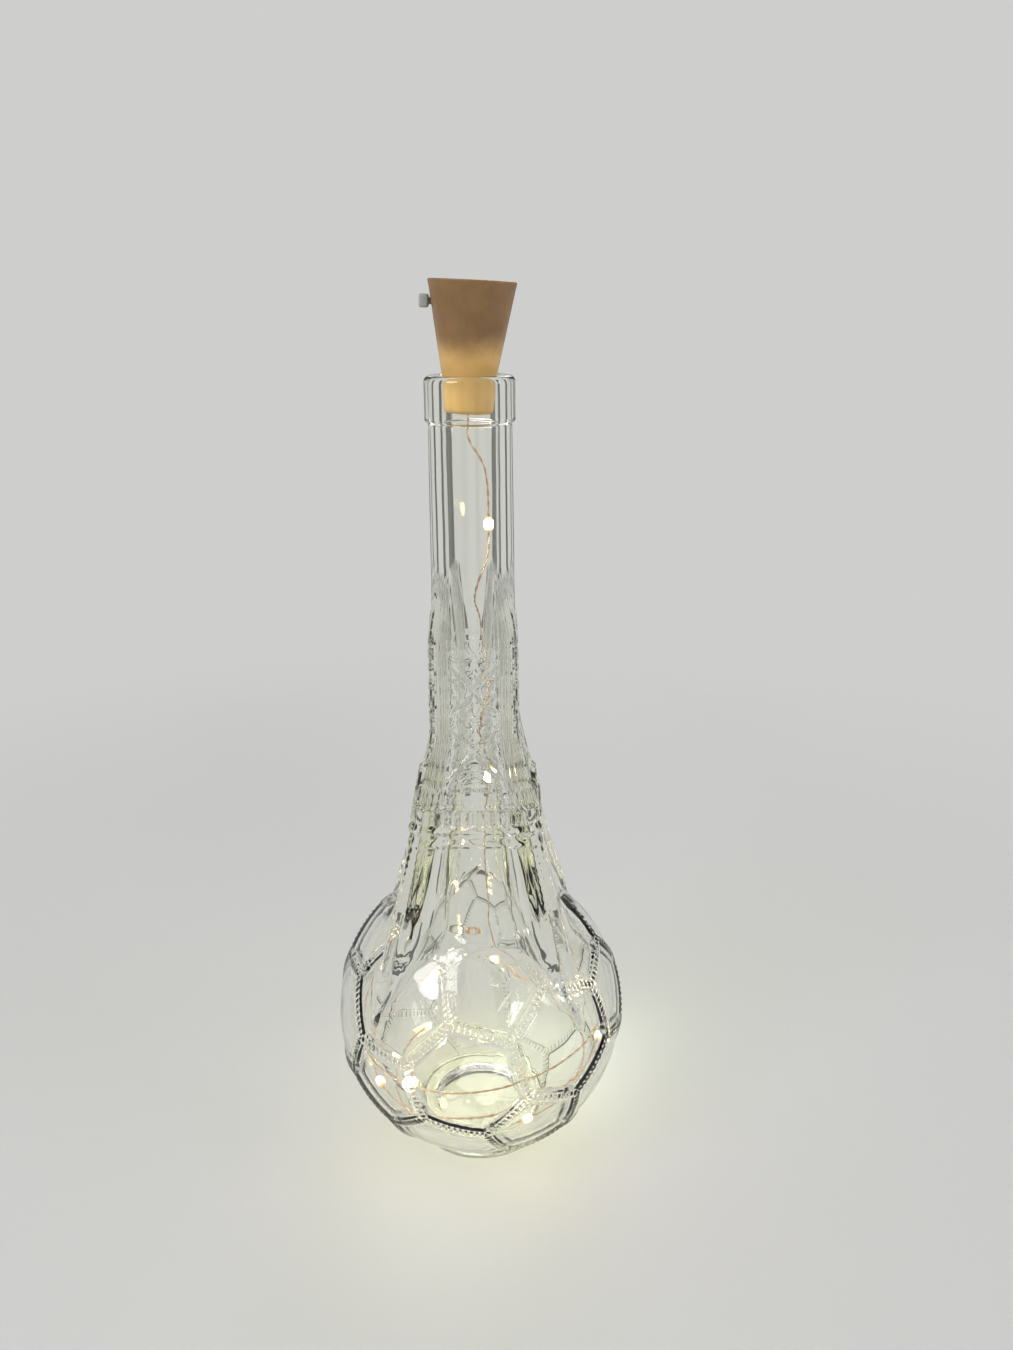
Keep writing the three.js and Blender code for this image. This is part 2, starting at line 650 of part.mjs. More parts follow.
// Contact disc with a tongue that points away from the switch
function topContact() {
  const half = CONTACT_TONGUE / 2;
  const start = Math.asin(half / CONTACT_RADIUS);
  const tip = cellRadius;
  const outline = new THREE.Shape().moveTo(tip, half);
  outline.absarc(0, 0, CONTACT_RADIUS, start, 2 * Math.PI - start, false);
  outline.lineTo(tip, -half);
  const options = { depth: CONTACT_THICKNESS, bevelEnabled: false, curveSegments: SMALL_SIDES };
  return new THREE.ExtrudeGeometry(outline, options).translate(0, 0, contactFoot);
}

// Switch body with a window for the knob's stem
function switchHousing() {
  const middle = switchFoot + SWITCH_HEIGHT / 2;
  const body = boxAt(SWITCH_DEPTH, SWITCH_WIDTH, SWITCH_HEIGHT, -switchInner - SWITCH_DEPTH / 2, 0, middle);
  const windowHeight = STEM_HEIGHT + SWITCH_TRAVEL + 2 * FIT;
  const window = boxAt(SWITCH_DEPTH, STEM_WIDTH + 2 * FIT, windowHeight, -switchOuter, 0, middle);
  return geometryOf(solid(body).subtract(solid(window)));
}

// Rounded finger pad outside the shell on a stem that reaches into the switch body
function switchKnob() {
  const padInner = shellRadius(stemLevel + KNOB_HEIGHT / 2) + FIT;
  const stemInner = switchInner + SWITCH_DEPTH / 2 + FIT;
  const halfWidth = KNOB_WIDTH / 2 - KNOB_ROUND;
  const halfHeight = KNOB_HEIGHT / 2 - KNOB_ROUND;
  const outline = new THREE.Shape().moveTo(halfHeight, -halfWidth).lineTo(halfHeight, halfWidth);
  outline.lineTo(-halfHeight, halfWidth).lineTo(-halfHeight, -halfWidth);
  const rounding = { bevelThickness: KNOB_ROUND, bevelSize: KNOB_ROUND, bevelSegments: 3 };
  const pad = new THREE.ExtrudeGeometry(outline, { depth: KNOB_DEPTH - 2 * KNOB_ROUND, ...rounding });
  pad.rotateY(-Math.PI / 2).translate(-padInner - KNOB_ROUND, 0, stemLevel);
  const stemLength = padInner + KNOB_ROUND - stemInner;
  const stem = boxAt(stemLength, STEM_WIDTH, STEM_HEIGHT, -stemInner - stemLength / 2, 0, stemLevel);
  return geometryOf(solid(pad).add(solid(stem)));
}

function switchTerminal(index) {
  const offset = (index - (TERMINAL_COUNT - 1) / 2) * TERMINAL_PITCH;
  const middle = switchInner + SWITCH_DEPTH / 2;
  const level = switchFoot - FIT - TERMINAL_LENGTH / 2;
  return boxAt(TERMINAL_WIDTH / 2, TERMINAL_WIDTH, TERMINAL_LENGTH, -middle, offset, level);
}

// Bush in the shell's lower end, with its flange inside
function wireGrommet() {
  const bore = WIRE_DIAMETER / 2 + FIT;
  const flange = TIP_THICKNESS - SEAT_DEPTH + FIT;
  const top = flange + GROMMET_FLANGE_HEIGHT;
  return turned(
    [[bore, -SEAT_DEPTH], [GROMMET_RADIUS, -SEAT_DEPTH], [GROMMET_RADIUS, flange], [GROMMET_FLANGE, flange],
      [GROMMET_FLANGE, top], [bore, top], [bore, -SEAT_DEPTH]],
    SMALL_SIDES,
  );
}

// Wire end inside the shell, straight through the grommet and up to the holder
function innerLead() {
  const low = -SEAT_DEPTH - INNER_LEAD_OUT;
  const high = holderFoot - FIT;
  return tube(new THREE.LineCurve3(space(0, 0, low), space(0, 0, high)), WIRE_DIAMETER, CORD_SIDES, 1);
}

// Route of the wire in the neck and into the ball, chosen by hand
const neckRoute = [
  [-0.64, 0, 266.68], [-0.8, 0, 263.5], [-0.7, -0.2, 260.6], [0.5, -0.5, 257.8], [2.4, -0.8, 255],
  [4, -1.1, 251.8], [4.8, -1.3, 248], [5.1, -1.4, 243.5], [5.2, -1.5, 239], [5.2, -1.6, 234],
  [5.1, -2.4, 229], [4.5, -5, 224], [2.5, -6.9, 218.5], [1, -6.1, 213], [0.7, -2.8, 208.5],
  [1.6, 1.6, 205], [3.2, 5.3, 200.5], [4.3, 6.4, 194.5], [5.7, 4.9, 189], [6.7, 1.1, 185],
  [6.3, -3.3, 181], [4.5, -6.7, 176], [2.4, -7.6, 169.5], [2.2, -6.2, 163], [3.8, -4.7, 157.5],
  [5.2, -4.2, 152], [5.5, -4.4, 146], [4.8, -5, 135], [3.9, -5.2, 122], [4.3, -5.5, 109],
  [5.6, -6, 97.5], [5.4, -6.7, 91.5], [7.6, -7.8, 86], [12.5, -9.4, 80.5], [19, -11.4, 74.5],
  [26, -11.8, 68], [32, -8.6, 63.2], [37.2, -5, 60.6], [41.5, -3.8, 59.2], [44.2, -6.2, 58.2],
  [44.6, -10.8, 57.4],
].map((p) => space(...p));

// Loose loops against the ball's wall: each goes round to the left, lower than the last, and leans up at the
// back
const wireEnd = LED_FIRST + (LED_COUNT - 1) * LED_PITCH + WIRE_TAIL;
const loopReach = cavityRadius - LED_RADIUS - FIT;
function loopRoute() {
  const length = wireEnd - new THREE.CatmullRomCurve3(neckRoute).getLength();
  const turns = length / (2 * Math.PI * loopReach * LOOP_MEAN_REACH);
  return Array.from({ length: Math.ceil(turns * LOOP_STEPS) + 1 }, (unused, i) => {
    const done = i / (turns * LOOP_STEPS);
    const angle = LOOP_START - (i / LOOP_STEPS) * 2 * Math.PI;
    const lean = LOOP_LEAN * (1 - done) * Math.cos(angle);
    const drop = THREE.MathUtils.lerp(-LOOP_TOP, LOOP_BOTTOM, done) + lean;
    const slack = LOOP_SAG * Math.sin((LOOP_SAGS_PER_TURN / 2) * angle + LOOP_SAG_START) ** 2;
    const reach = Math.sqrt(loopReach ** 2 - drop ** 2) - slack;
    return space(reach * Math.sin(angle), -reach * Math.cos(angle), ballCentre - drop);
  });
}

const route = new THREE.CatmullRomCurve3([...neckRoute, ...loopRoute()]);
route.arcLengthDivisions = 4000;
const routeLength = route.getLength();

// Stretch of the route between two distances along it
class Stretch extends THREE.Curve {
  constructor(from, to) {
    super();
    this.from = from;
    this.to = to;
  }

  getPoint(share) {
    return route.getPointAt(THREE.MathUtils.lerp(this.from, this.to, share) / routeLength);
  }
}

// Each drop sits on the middle of a step, so steps divide the distances between the drops
const neckStep = LED_FIRST / NECK_STEPS_TO_LED;
const leadEnd = LEAD_STEPS * neckStep;
const loopStep = LED_PITCH / LOOP_STEPS_PER_LED;
const coilStart = LED_FIRST + LED_PITCH - loopStep / 2;
const wireStretches = {
  wire_lead: { from: 0, to: leadEnd, step: neckStep, sides: CORD_SIDES },
  wire_drop: { from: leadEnd + FIT, to: coilStart - FIT, step: neckStep, sides: CORD_SIDES },
  wire_coil: { from: coilStart, to: wireEnd, step: loopStep, sides: LOOP_SIDES },
};

function wireStretch({ from, to, step, sides }) {
  return tube(new Stretch(from, to), WIRE_DIAMETER, sides, Math.round((to - from) / step));
}

// Moulded drop round the unbroken wire, centred on a straight step of it
function ledDrop(index) {
  const distance = LED_FIRST + index * LED_PITCH;
  const half = (index === 0 ? neckStep : loopStep) / 2;
  const before = route.getPointAt((distance - half) / routeLength);
  const after = route.getPointAt((distance + half) / routeLength);
  const bore = WIRE_DIAMETER / 2 + FIT;
  const end = LED_LENGTH / 2;
  const barrel = LED_BARREL / 2;
  const profile = [[bore, -end], [LED_END_RADIUS, -end], [LED_RADIUS, -barrel], [LED_RADIUS, barrel],
    [LED_END_RADIUS, end], [bore, end], [bore, -end]];
  const drop = turned(profile, LED_SIDES);
  const along = after.clone().sub(before).normalize();
  const turn = new THREE.Quaternion().setFromUnitVectors(space(0, 0, 1), along);
  const middle = before.add(after).divideScalar(2);
  return drop.applyQuaternion(turn).translate(middle.x, middle.y, middle.z);
}

// Least gap between turns of the loops, measured on points along the wire
function leastLoopGap() {
  const apart = 30;
  const points = new Stretch(coilStart, wireEnd).getSpacedPoints(Math.round(wireEnd - coilStart));
  let least = Infinity;
  points.forEach((p, i) => {
    points.slice(i + apart).forEach((q) => {
      least = Math.min(least, p.distanceTo(q));
    });
  });
  return least - WIRE_DIAMETER;
}

const light = new THREE.Group();
const stopper = new THREE.Group();
stopper.position.set(0, 0, mouth);
stopper.rotation.y = LEAN;
light.add(stopper);

function place(group, name, geometry, material) {
  const mesh = new THREE.Mesh(geometry, material);
  mesh.name = name;
  group.add(mesh);
}

place(light, "glass_bottle", glassBottle(), glass);
place(stopper, "stopper_shell", stopperShell(), cork);
place(stopper, "battery_lid", batteryLid(), lidCork);
place(stopper, "battery_holder", batteryHolder(), blackPlastic);
for (let index = 0; index < CELL_COUNT; index += 1) {
  place(stopper, `button_cell_${index + 1}`, buttonCell(index), steel);
}
place(stopper, "spring_contact", springContact(), steel);
place(stopper, "top_contact", topContact(), brass);
place(stopper, "switch_housing", switchHousing(), steel);
place(stopper, "switch_knob", switchKnob(), greyPlastic);
for (let index = 0; index < TERMINAL_COUNT; index += 1) {
  place(stopper, `switch_terminal_${index + 1}`, switchTerminal(index), brass);
}
place(stopper, "wire_grommet", wireGrommet(), blackPlastic);
place(stopper, "inner_lead", innerLead(), wireMetal);
for (const [name, stretch] of Object.entries(wireStretches)) {
  place(light, name, wireStretch(stretch), wireMetal);
}
for (let index = 0; index < LED_COUNT; index += 1) {
  place(light, `led_${String(index + 1).padStart(2, "0")}`, ledDrop(index), warmDrop);
}

console.log(`Least gap between the loops of the wire: ${leastLoopGap().toFixed(2)} mm`);

export default light;
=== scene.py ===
"""Looks of the bottle light: a moulded glass bottle with a string of drop lights hung from its stopper."""

import math

import bmesh
import bpy
import numpy as np
from mathutils import Matrix, Vector


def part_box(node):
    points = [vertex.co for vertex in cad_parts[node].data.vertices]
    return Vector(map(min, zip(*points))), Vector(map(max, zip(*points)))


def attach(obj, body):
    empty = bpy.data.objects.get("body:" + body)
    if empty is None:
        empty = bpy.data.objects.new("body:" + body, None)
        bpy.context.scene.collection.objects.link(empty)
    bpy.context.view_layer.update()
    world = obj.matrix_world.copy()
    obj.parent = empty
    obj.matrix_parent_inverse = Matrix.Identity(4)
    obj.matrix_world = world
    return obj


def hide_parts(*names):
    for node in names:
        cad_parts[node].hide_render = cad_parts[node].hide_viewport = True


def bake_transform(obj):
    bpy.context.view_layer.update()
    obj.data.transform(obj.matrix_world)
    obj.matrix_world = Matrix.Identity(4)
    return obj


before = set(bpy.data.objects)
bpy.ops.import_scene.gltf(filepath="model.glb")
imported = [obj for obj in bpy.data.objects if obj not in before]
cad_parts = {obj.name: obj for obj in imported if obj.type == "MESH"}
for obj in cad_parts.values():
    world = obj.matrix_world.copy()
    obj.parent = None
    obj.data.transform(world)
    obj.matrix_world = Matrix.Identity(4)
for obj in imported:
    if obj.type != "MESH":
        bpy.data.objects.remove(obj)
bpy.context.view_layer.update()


# Camera
# It stands in front of the bottle, a little over its mouth, and looks down at it as the photograph does.
PHOTO_HEIGHT = 1350
FOCAL_PIXELS = 1050
SENSOR = 36
NEAREST = 0.01
CAMERA_PLACE = (0.0107, -0.332, 0.3)
CAMERA_PITCH = math.radians(19.6)
CAMERA_ROLL = math.radians(0.39)

lens = bpy.data.cameras.new("camera")
lens.sensor_fit = "VERTICAL"
lens.sensor_height = SENSOR
lens.lens = SENSOR * FOCAL_PIXELS / PHOTO_HEIGHT
lens.clip_start = NEAREST
camera = bpy.data.objects.new("camera", lens)
tilt = Matrix.Rotation(math.pi / 2 - CAMERA_PITCH, 4, "X") @ Matrix.Rotation(-CAMERA_ROLL, 4, "Z")
camera.matrix_world = Matrix.Translation(CAMERA_PLACE) @ tilt
bpy.context.scene.collection.objects.link(camera)
bpy.context.scene.camera = camera


# Light string: wire
# Two enamelled copper strands, twisted together, leave the grommet, hang down the neck and lie in loose
# loops against the ball's wall. The route is the one that the solid wire follows.
MM = 0.001
WIRE_DIAMETER = 0.8 * MM
LED_COUNT = 10
LED_FIRST = 34.5 * MM
LED_PITCH = 100 * MM
WIRE_TAIL = 5 * MM
BALL_CENTRE = 51.26 * MM
LOOP_REACH = 46.45 * MM
LOOP_TOP = 8 * MM
LOOP_BOTTOM = 36.5 * MM
LOOP_LEAN = 8 * MM
LOOP_SAG = 3 * MM
LOOP_START = math.radians(70)
LOOP_SAGS_PER_TURN = 3
LOOP_SAG_START = 1
LOOP_MEAN_REACH = 0.82
LOOP_STEPS = 24
ROUTE_STEPS = 20
STRAND_TWIST = 7 * MM
WIRE_STEP = 0.9 * MM
COPPER_BRIGHT = (0.86, 0.62, 0.42, 1)
COPPER_DULL = (0.62, 0.4, 0.24, 1)

NECK_ROUTE = [
    (-0.64, 0, 266.68), (-0.8, 0, 263.5), (-0.7, -0.2, 260.6), (0.5, -0.5, 257.8), (2.4, -0.8, 255),
    (4, -1.1, 251.8), (4.8, -1.3, 248), (5.1, -1.4, 243.5), (5.2, -1.5, 239), (5.2, -1.6, 234),
    (5.1, -2.4, 229), (4.5, -5, 224), (2.5, -6.9, 218.5), (1, -6.1, 213), (0.7, -2.8, 208.5),
    (1.6, 1.6, 205), (3.2, 5.3, 200.5), (4.3, 6.4, 194.5), (5.7, 4.9, 189), (6.7, 1.1, 185),
    (6.3, -3.3, 181), (4.5, -6.7, 176), (2.4, -7.6, 169.5), (2.2, -6.2, 163), (3.8, -4.7, 157.5),
    (5.2, -4.2, 152), (5.5, -4.4, 146), (4.8, -5, 135), (3.9, -5.2, 122), (4.3, -5.5, 109),
    (5.6, -6, 97.5), (5.4, -6.7, 91.5), (7.6, -7.8, 86), (12.5, -9.4, 80.5), (19, -11.4, 74.5),
    (26, -11.8, 68), (32, -8.6, 63.2), (37.2, -5, 60.6), (41.5, -3.8, 59.2), (44.2, -6.2, 58.2),
    (44.6, -10.8, 57.4),
]


def smooth_route(points, steps):
    """Points on a smooth curve through the given ones, with so many steps between each two."""
    ends = [2 * points[0] - points[1], *points, 2 * points[-1] - points[-2]]
    share = np.arange(steps)[:, None] / steps
    made = []
    for before, a, b, after in zip(ends, ends[1:], ends[2:], ends[3:]):
        first, middle, last = (np.linalg.norm(q - p) ** 0.5 for p, q in ((before, a), (a, b), (b, after)))
        leave = (a - before) / first - (b - before) / (first + middle) + (b - a) / middle
        arrive = (b - a) / middle - (after - a) / (middle + last) + (after - b) / last
        curve = a + (b - a) * share**2 * (3 - 2 * share)
        curve = curve + middle * share * (1 - share) * (leave * (1 - share) - arrive * share)
        made.extend(curve)
    return np.array([*made, points[-1]])


def length_of(points):
    """Length of a line of points."""
    return np.linalg.norm(np.diff(points, axis=0), axis=1).sum()


def even_points(points, places):
    """Points at the given distances along a line of points, and the directions there."""
    steps = np.linalg.norm(np.diff(points, axis=0), axis=1)
    along = np.concatenate([[0], np.cumsum(steps)])
    found = np.array([np.interp(places, along, points[:, axis]) for axis in range(3)]).T
    ahead = np.gradient(found, axis=0)
    return found, ahead / np.linalg.norm(ahead, axis=1)[:, None]


wire_length = LED_FIRST + (LED_COUNT - 1) * LED_PITCH + WIRE_TAIL
neck_points = [np.array(p) * MM for p in NECK_ROUTE]
left = wire_length - length_of(smooth_route(neck_points, ROUTE_STEPS))
turns = left / (2 * math.pi * LOOP_REACH * LOOP_MEAN_REACH)
loop_points = []
for i in range(math.ceil(turns * LOOP_STEPS) + 1):
    done = i / (turns * LOOP_STEPS)
    angle = LOOP_START - i / LOOP_STEPS * 2 * math.pi
    fall = LOOP_BOTTOM * done - LOOP_TOP * (1 - done) + LOOP_LEAN * (1 - done) * math.cos(angle)
    slack = LOOP_SAG * math.sin(LOOP_SAGS_PER_TURN / 2 * angle + LOOP_SAG_START) ** 2
    reach = math.sqrt(LOOP_REACH**2 - fall**2) - slack
    loop_points.append(np.array((reach * math.sin(angle), -reach * math.cos(angle), BALL_CENTRE - fall)))
route = smooth_route([*neck_points, *loop_points], ROUTE_STEPS)
wire_path, wire_ahead = even_points(route, np.arange(0, wire_length, WIRE_STEP))

sideways = np.zeros_like(wire_path)
side = np.array((1.0, 0, 0))
for i, ahead in enumerate(wire_ahead):
    side = side - ahead * (side @ ahead)
    side = side / np.linalg.norm(side)
    sideways[i] = side
upwards = np.cross(wire_ahead, sideways)
twist = np.arange(len(wire_path))[:, None] * WIRE_STEP / STRAND_TWIST * 2 * math.pi
offset = (np.cos(twist) * sideways + np.sin(twist) * upwards) * WIRE_DIAMETER / 4

strands = bpy.data.curves.new("strands", "CURVE")
strands.dimensions = "3D"
strands.bevel_depth = WIRE_DIAMETER / 4
strands.bevel_resolution = 1
strands.use_fill_caps = True
for points in (wire_path + offset, wire_path - offset):
    spline = strands.splines.new("POLY")
    spline.points.add(len(points) - 1)
    spline.points.foreach_set("co", np.column_stack([points, np.ones(len(points))]).ravel())
strand_curve = bpy.data.objects.new("strands", strands)
bpy.context.scene.collection.objects.link(strand_curve)
bpy.context.view_layer.update()
shaped = strand_curve.evaluated_get(bpy.context.evaluated_depsgraph_get())
wire_mesh = bpy.data.meshes.new_from_object(shaped)
bpy.data.objects.remove(strand_curve)


def new_piece(name, mesh, material):
    """A finished piece at the origin, with its material."""
    piece = bpy.data.objects.new(name, mesh)
    mesh.materials.clear()
    mesh.materials.append(material)
    mesh.polygons.foreach_set("use_smooth", [True] * len(mesh.polygons))
    bpy.context.scene.collection.objects.link(piece)
    return piece


class Shade:
    """A value in a material's nodes. Arithmetic on it adds Math nodes."""

    def __init__(self, tree, socket=None):
        self.tree = tree
        self.socket = socket

    def node(self, kind, settings=None, sockets=None, output=0):
        """The chosen output of a new node, with its settings and its sockets."""
        made = self.tree.nodes.new("ShaderNode" + kind)
        for name, value in (settings or {}).items():
            setattr(made, name, value)
        for name, value in (sockets or {}).items():
            if isinstance(value, Shade):
                self.tree.links.new(value.socket, made.inputs[name])
            else:
                made.inputs[name].default_value = value
        return Shade(self.tree, made.outputs[output] if len(made.outputs) else None)

    def maths(self, operation, *values):
        """The result of a Math node on the given values."""
        return self.node("Math", {"operation": operation}, dict(enumerate(values)))

    def __add__(self, other):
        return self.maths("ADD", self, other)

    def __mul__(self, other):
        return self.maths("MULTIPLY", self, other)

    __radd__ = __add__
    __rmul__ = __mul__

    def mix(self, low, high):
        """Colour between two others, by this value."""
        return self.node("Mix", {"data_type": "RGBA"}, {0: self, 6: low, 7: high}, output=2)

    def ramp(self, low, high):
        """This value's place between two others, from 0 to 1."""
        ends = {"Value": self, "From Min": low, "From Max": high}
        return self.node("MapRange", {"interpolation_type": "SMOOTHSTEP"}, ends)


def new_material(name):
    """A material with no nodes but its coordinates on the piece in metres."""
    material = bpy.data.materials.new(name)
    material.use_nodes = True
    material.node_tree.nodes.clear()
    start = Shade(material.node_tree)
    return material, start, start.node("TexCoord", output="Object")


def noise(coords, scale, detail=3):
    """Cloudy value from 0 to 1, with so many clouds to the metre."""
    sockets = {"Vector": coords, "Scale": scale, "Detail": detail, "Roughness": 0.55}
    return coords.node("TexNoise", sockets=sockets)


def bump(height, strength, distance):
    """Normal of a surface with this height on it."""
    return height.node("Bump", sockets={"Height": height, "Strength": strength, "Distance": distance})


def output(surface, volume=None):
    """Gives a material its surface and, where it has one, its volume."""
    sockets = {"Surface": surface} if volume is None else {"Surface": surface, "Volume": volume}
    surface.node("OutputMaterial", sockets=sockets)


copper, start, coords = new_material("enamelled_copper")
tarnish = noise(coords, 420).ramp(0.35, 0.7)
output(start.node("BsdfPrincipled", sockets={
    "Base Color": tarnish.mix(COPPER_BRIGHT, COPPER_DULL),
    "Metallic": 1.0,
    "Roughness": 0.22 + 0.2 * tarnish,
    "Coat Weight": 0.5,
}))
wire = new_piece("wire", wire_mesh, copper)
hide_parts("wire_lead", "wire_drop", "wire_coil")
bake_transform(wire)


# Light string: drops
# Ten small lights, each a chip soldered across the two strands and sealed in a drop of clear warm resin.
# A drop is turned in millimetres and then laid along the wire.
LED_RADIUS = 1.45
LED_LENGTH = 4.6
LED_END_RADIUS = 0.45
LED_FULLNESS = 0.8
LED_STEPS = 14
LED_COLUMNS = 20
LED_PROBE = np.array((-1, 0, 1)) * MM
RESIN_AMBER = (0.9, 0.6, 0.26, 1)
RESIN_LIT_PALE = (1, 0.93, 0.78, 1)
GLOW_RIM = (0.012, 0.005, 0.001, 1)
GLOW_HEART = (1, 0.76, 0.4, 1)
GLOW_STRENGTH = 50.0
JOIN_DISTANCE = 1e-4


def turn_round(form, chain, columns, closed=False):
    """Turns a chain of points about the upright axis into a skin of faces that look outwards."""
    pairs = list(zip(chain, chain[1:])) + ([(chain[-1], chain[0])] if closed else [])
    edges = [form.edges.new(pair) for pair in pairs]
    whole_turn = {"cent": (0, 0, 0), "axis": (0, 0, 1), "angle": 2 * math.pi}
    bmesh.ops.spin(form, geom=chain + edges, steps=columns, use_merge=True, **whole_turn)
    bmesh.ops.remove_doubles(form, verts=form.verts, dist=JOIN_DISTANCE)
    bmesh.ops.recalc_face_normals(form, faces=form.faces)


def mesh_of(form, name):
    """The mesh of a form, which is freed."""
    mesh = bpy.data.meshes.new(name)
    form.to_mesh(mesh)
    form.free()
    return mesh


# Painted light: no chip is built. Its light is painted into the resin as a glow and a paler colour,
# brightest at the drop's middle and fading towards its ends.
warm_drop, start, coords = new_material("lit_resin")
heart = start.node("Attribute", {"attribute_name": "heart"}, output="Fac")
output(start.node("BsdfPrincipled", sockets={
    "Base Color": heart.mix(RESIN_AMBER, RESIN_LIT_PALE),
    "Roughness": 0.12 + 0.1 * noise(coords, 900),
    "Coat Weight": 0.6,
    "Emission Color": heart.ramp(0.7, 1).mix(GLOW_RIM, GLOW_HEART),
    "Emission Strength": GLOW_STRENGTH,
}))
for index in range(LED_COUNT):
    number = f"{index + 1:02d}"
    place, ahead = even_points(route, LED_FIRST + index * LED_PITCH + LED_PROBE)
    form = bmesh.new()
    heart_layer = form.verts.layers.float.new("heart")
    profile = []
    for turn in np.linspace(-math.pi / 2, math.pi / 2, LED_STEPS + 1):
        reach = LED_END_RADIUS + (LED_RADIUS - LED_END_RADIUS) * math.cos(turn) ** LED_FULLNESS
        profile.append(form.verts.new((reach, 0, LED_LENGTH / 2 * math.sin(turn))))
        profile[-1][heart_layer] = math.cos(turn)
    tips = [form.verts.new((0, 0, end * LED_LENGTH / 2)) for end in (-1, 1)]
    turn_round(form, [tips[0], *profile, tips[1]], LED_COLUMNS)
    along_wire = Vector((0, 0, 1)).rotation_difference(Vector(ahead[1])).to_matrix().to_4x4()
    laid = Matrix.Translation(place[1]) @ along_wire @ Matrix.Scale(MM, 4)
    bmesh.ops.transform(form, matrix=laid, verts=form.verts)
    drop = new_piece(f"light_drop_{number}", mesh_of(form, f"drop_{number}"), warm_drop)
    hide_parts(f"led_{number}")
    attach(drop, "bottle" if index else "stopper")


# Glass bottle
# One piece of clear glass: a ball with a football's raised, stitched seams on a short foot, and a square
# lattice tower on splayed legs that turns into a round neck with a thick collar. Sizes are in millimetres.
BALL_RADIUS = 53
SEAM_RISE = 0.8
SEAM_RIDGE = 0.65
SEAM_SIDES = (1.4, 2.4)
SEAM_CHANNEL = 0.3
CHANNEL_SIDES = (0.8, 1.3)
PANEL_TILT = math.radians(49)
PANEL_TURN = math.radians(7)
STITCH_COUNT = 11
STITCH_HEIGHT = 0.6
STITCH_SLANT = 0.1
STITCH_ENDS = (0.5, 1.24)
STITCH_SIDES = (0.15, 0.75)
LEG_TAIL = 1.4
LEG_TAIL_WIDTH = 8
LEG_TAIL_FOOT = 66
LEG_TAIL_TOP = 82
LEG_TAIL_SOFT = 1
LEG_TAIL_TIP = 1.5
FOOT_RADIUS = 25.5
FOOT_HEIGHT = 4.8
FOOT_ROUND = 1.2
FOOT_TAPER = 0.3
STANDING_RING = 6
PUSH_UP = 3
BASE_THICKNESS = 6
CAVITY_RADIUS = 48.2
NECK_WALL = 4.75
BORE_RADIUS = 8.75
NECK_HEIGHT = 43.5
NECK_FOOT_RADIUS = 13.5
NECK_TOP_RADIUS = 13.1
COLLAR_RADIUS = 14.1
COLLAR_HEIGHT = 14
COLLAR_ROUND = 2
COLLAR_UNDER_ROUND = 0.9
LIP_ROUND = 1
UPPER_HEIGHT = 79
BALUSTRADE_HEIGHT = 6.7
PLATFORM_HEIGHT = 7.3

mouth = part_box("glass_bottle")[1].z / MM
centre = BALL_CENTRE / MM
crown = centre + BALL_RADIUS
collar_foot = mouth - COLLAR_HEIGHT
neck_foot = collar_foot - NECK_HEIGHT
upper_foot = neck_foot - UPPER_HEIGHT
balustrade = upper_foot - BALUSTRADE_HEIGHT
platform = balustrade - PLATFORM_HEIGHT


def ramp(value, low, high):
    """0 up to low and 1 from high, with a soft rise between them."""
    share = np.clip((value - low) / (high - low), 0, 1)
    return share * share * (3 - 2 * share)


def band(value, low, high, soft):
    """1 between low and high and 0 outside, with soft edges."""
    return ramp(value, low - soft / 2, low + soft / 2) * (1 - ramp(value, high - soft / 2, high + soft / 2))


def line(distance, width, soft):
    """1 on a line of the given width and 0 beside it, with soft edges."""
    return 1 - ramp(np.abs(distance), (width - soft) / 2, (width + soft) / 2)


def soft_max(a, b, width):
    """The larger of two values, with a fillet where they cross."""
    share = np.clip(0.5 + (a - b) / (2 * width), 0, 1)
    return b + (a - b) * share + width * share * (1 - share)


def smooth_through(levels, values):
    """A smooth curve through values at levels, as a function of the level."""
    levels = np.array(levels)
    values = np.array(values)
    slopes = np.gradient(values, levels)

    def curve(level):
        i = np.clip(np.searchsorted(levels, level) - 1, 0, len(levels) - 2)
        step = levels[i + 1] - levels[i]
        t = np.clip((level - levels[i]) / step, 0, 1)
        low = (1 + 2 * t) * (1 - t) ** 2 * values[i] + t * (1 - t) ** 2 * step * slopes[i]
        return low + t * t * (3 - 2 * t) * values[i + 1] - t * t * (1 - t) * step * slopes[i + 1]

    return curve


def football_seams():
    """Pairs of directions between which the seams of a football run, turned as on the bottle."""
    latitude = math.atan(0.5)
    reach = math.cos(latitude)
    tips = [Vector((0, 0, 1)), Vector((0, 0, -1))]
    for fifth in range(5):
        for sign, turn in ((1, fifth * 2 * math.pi / 5), (-1, (fifth + 0.5) * 2 * math.pi / 5)):
            tips.append(Vector((reach * math.cos(turn), reach * math.sin(turn), sign * math.sin(latitude))))
    place = Matrix.Rotation(PANEL_TURN, 3, "Z") @ Matrix.Rotation(PANEL_TILT, 3, "X")

    def neighbours(a, b):
        """Whether an edge of the icosahedron joins two of its tips."""
        return abs(a.dot(b) - math.sqrt(0.2)) < 1e-6

    def corner(a, b):
        """Corner of the panel at one tip, on the edge to another."""
        return place @ a.lerp(b, 1 / 3).normalized()

    seams = []
    for a in tips:
        around = [b for b in tips if neighbours(a, b)]
        for i, b in enumerate(around):
            if tips.index(b) > tips.index(a):
                seams.append((corner(a, b), corner(b, a)))
            for c in around[i + 1:]:
                if neighbours(b, c):
                    seams.append((corner(a, b), corner(a, c)))
    return seams


SEAMS = football_seams()


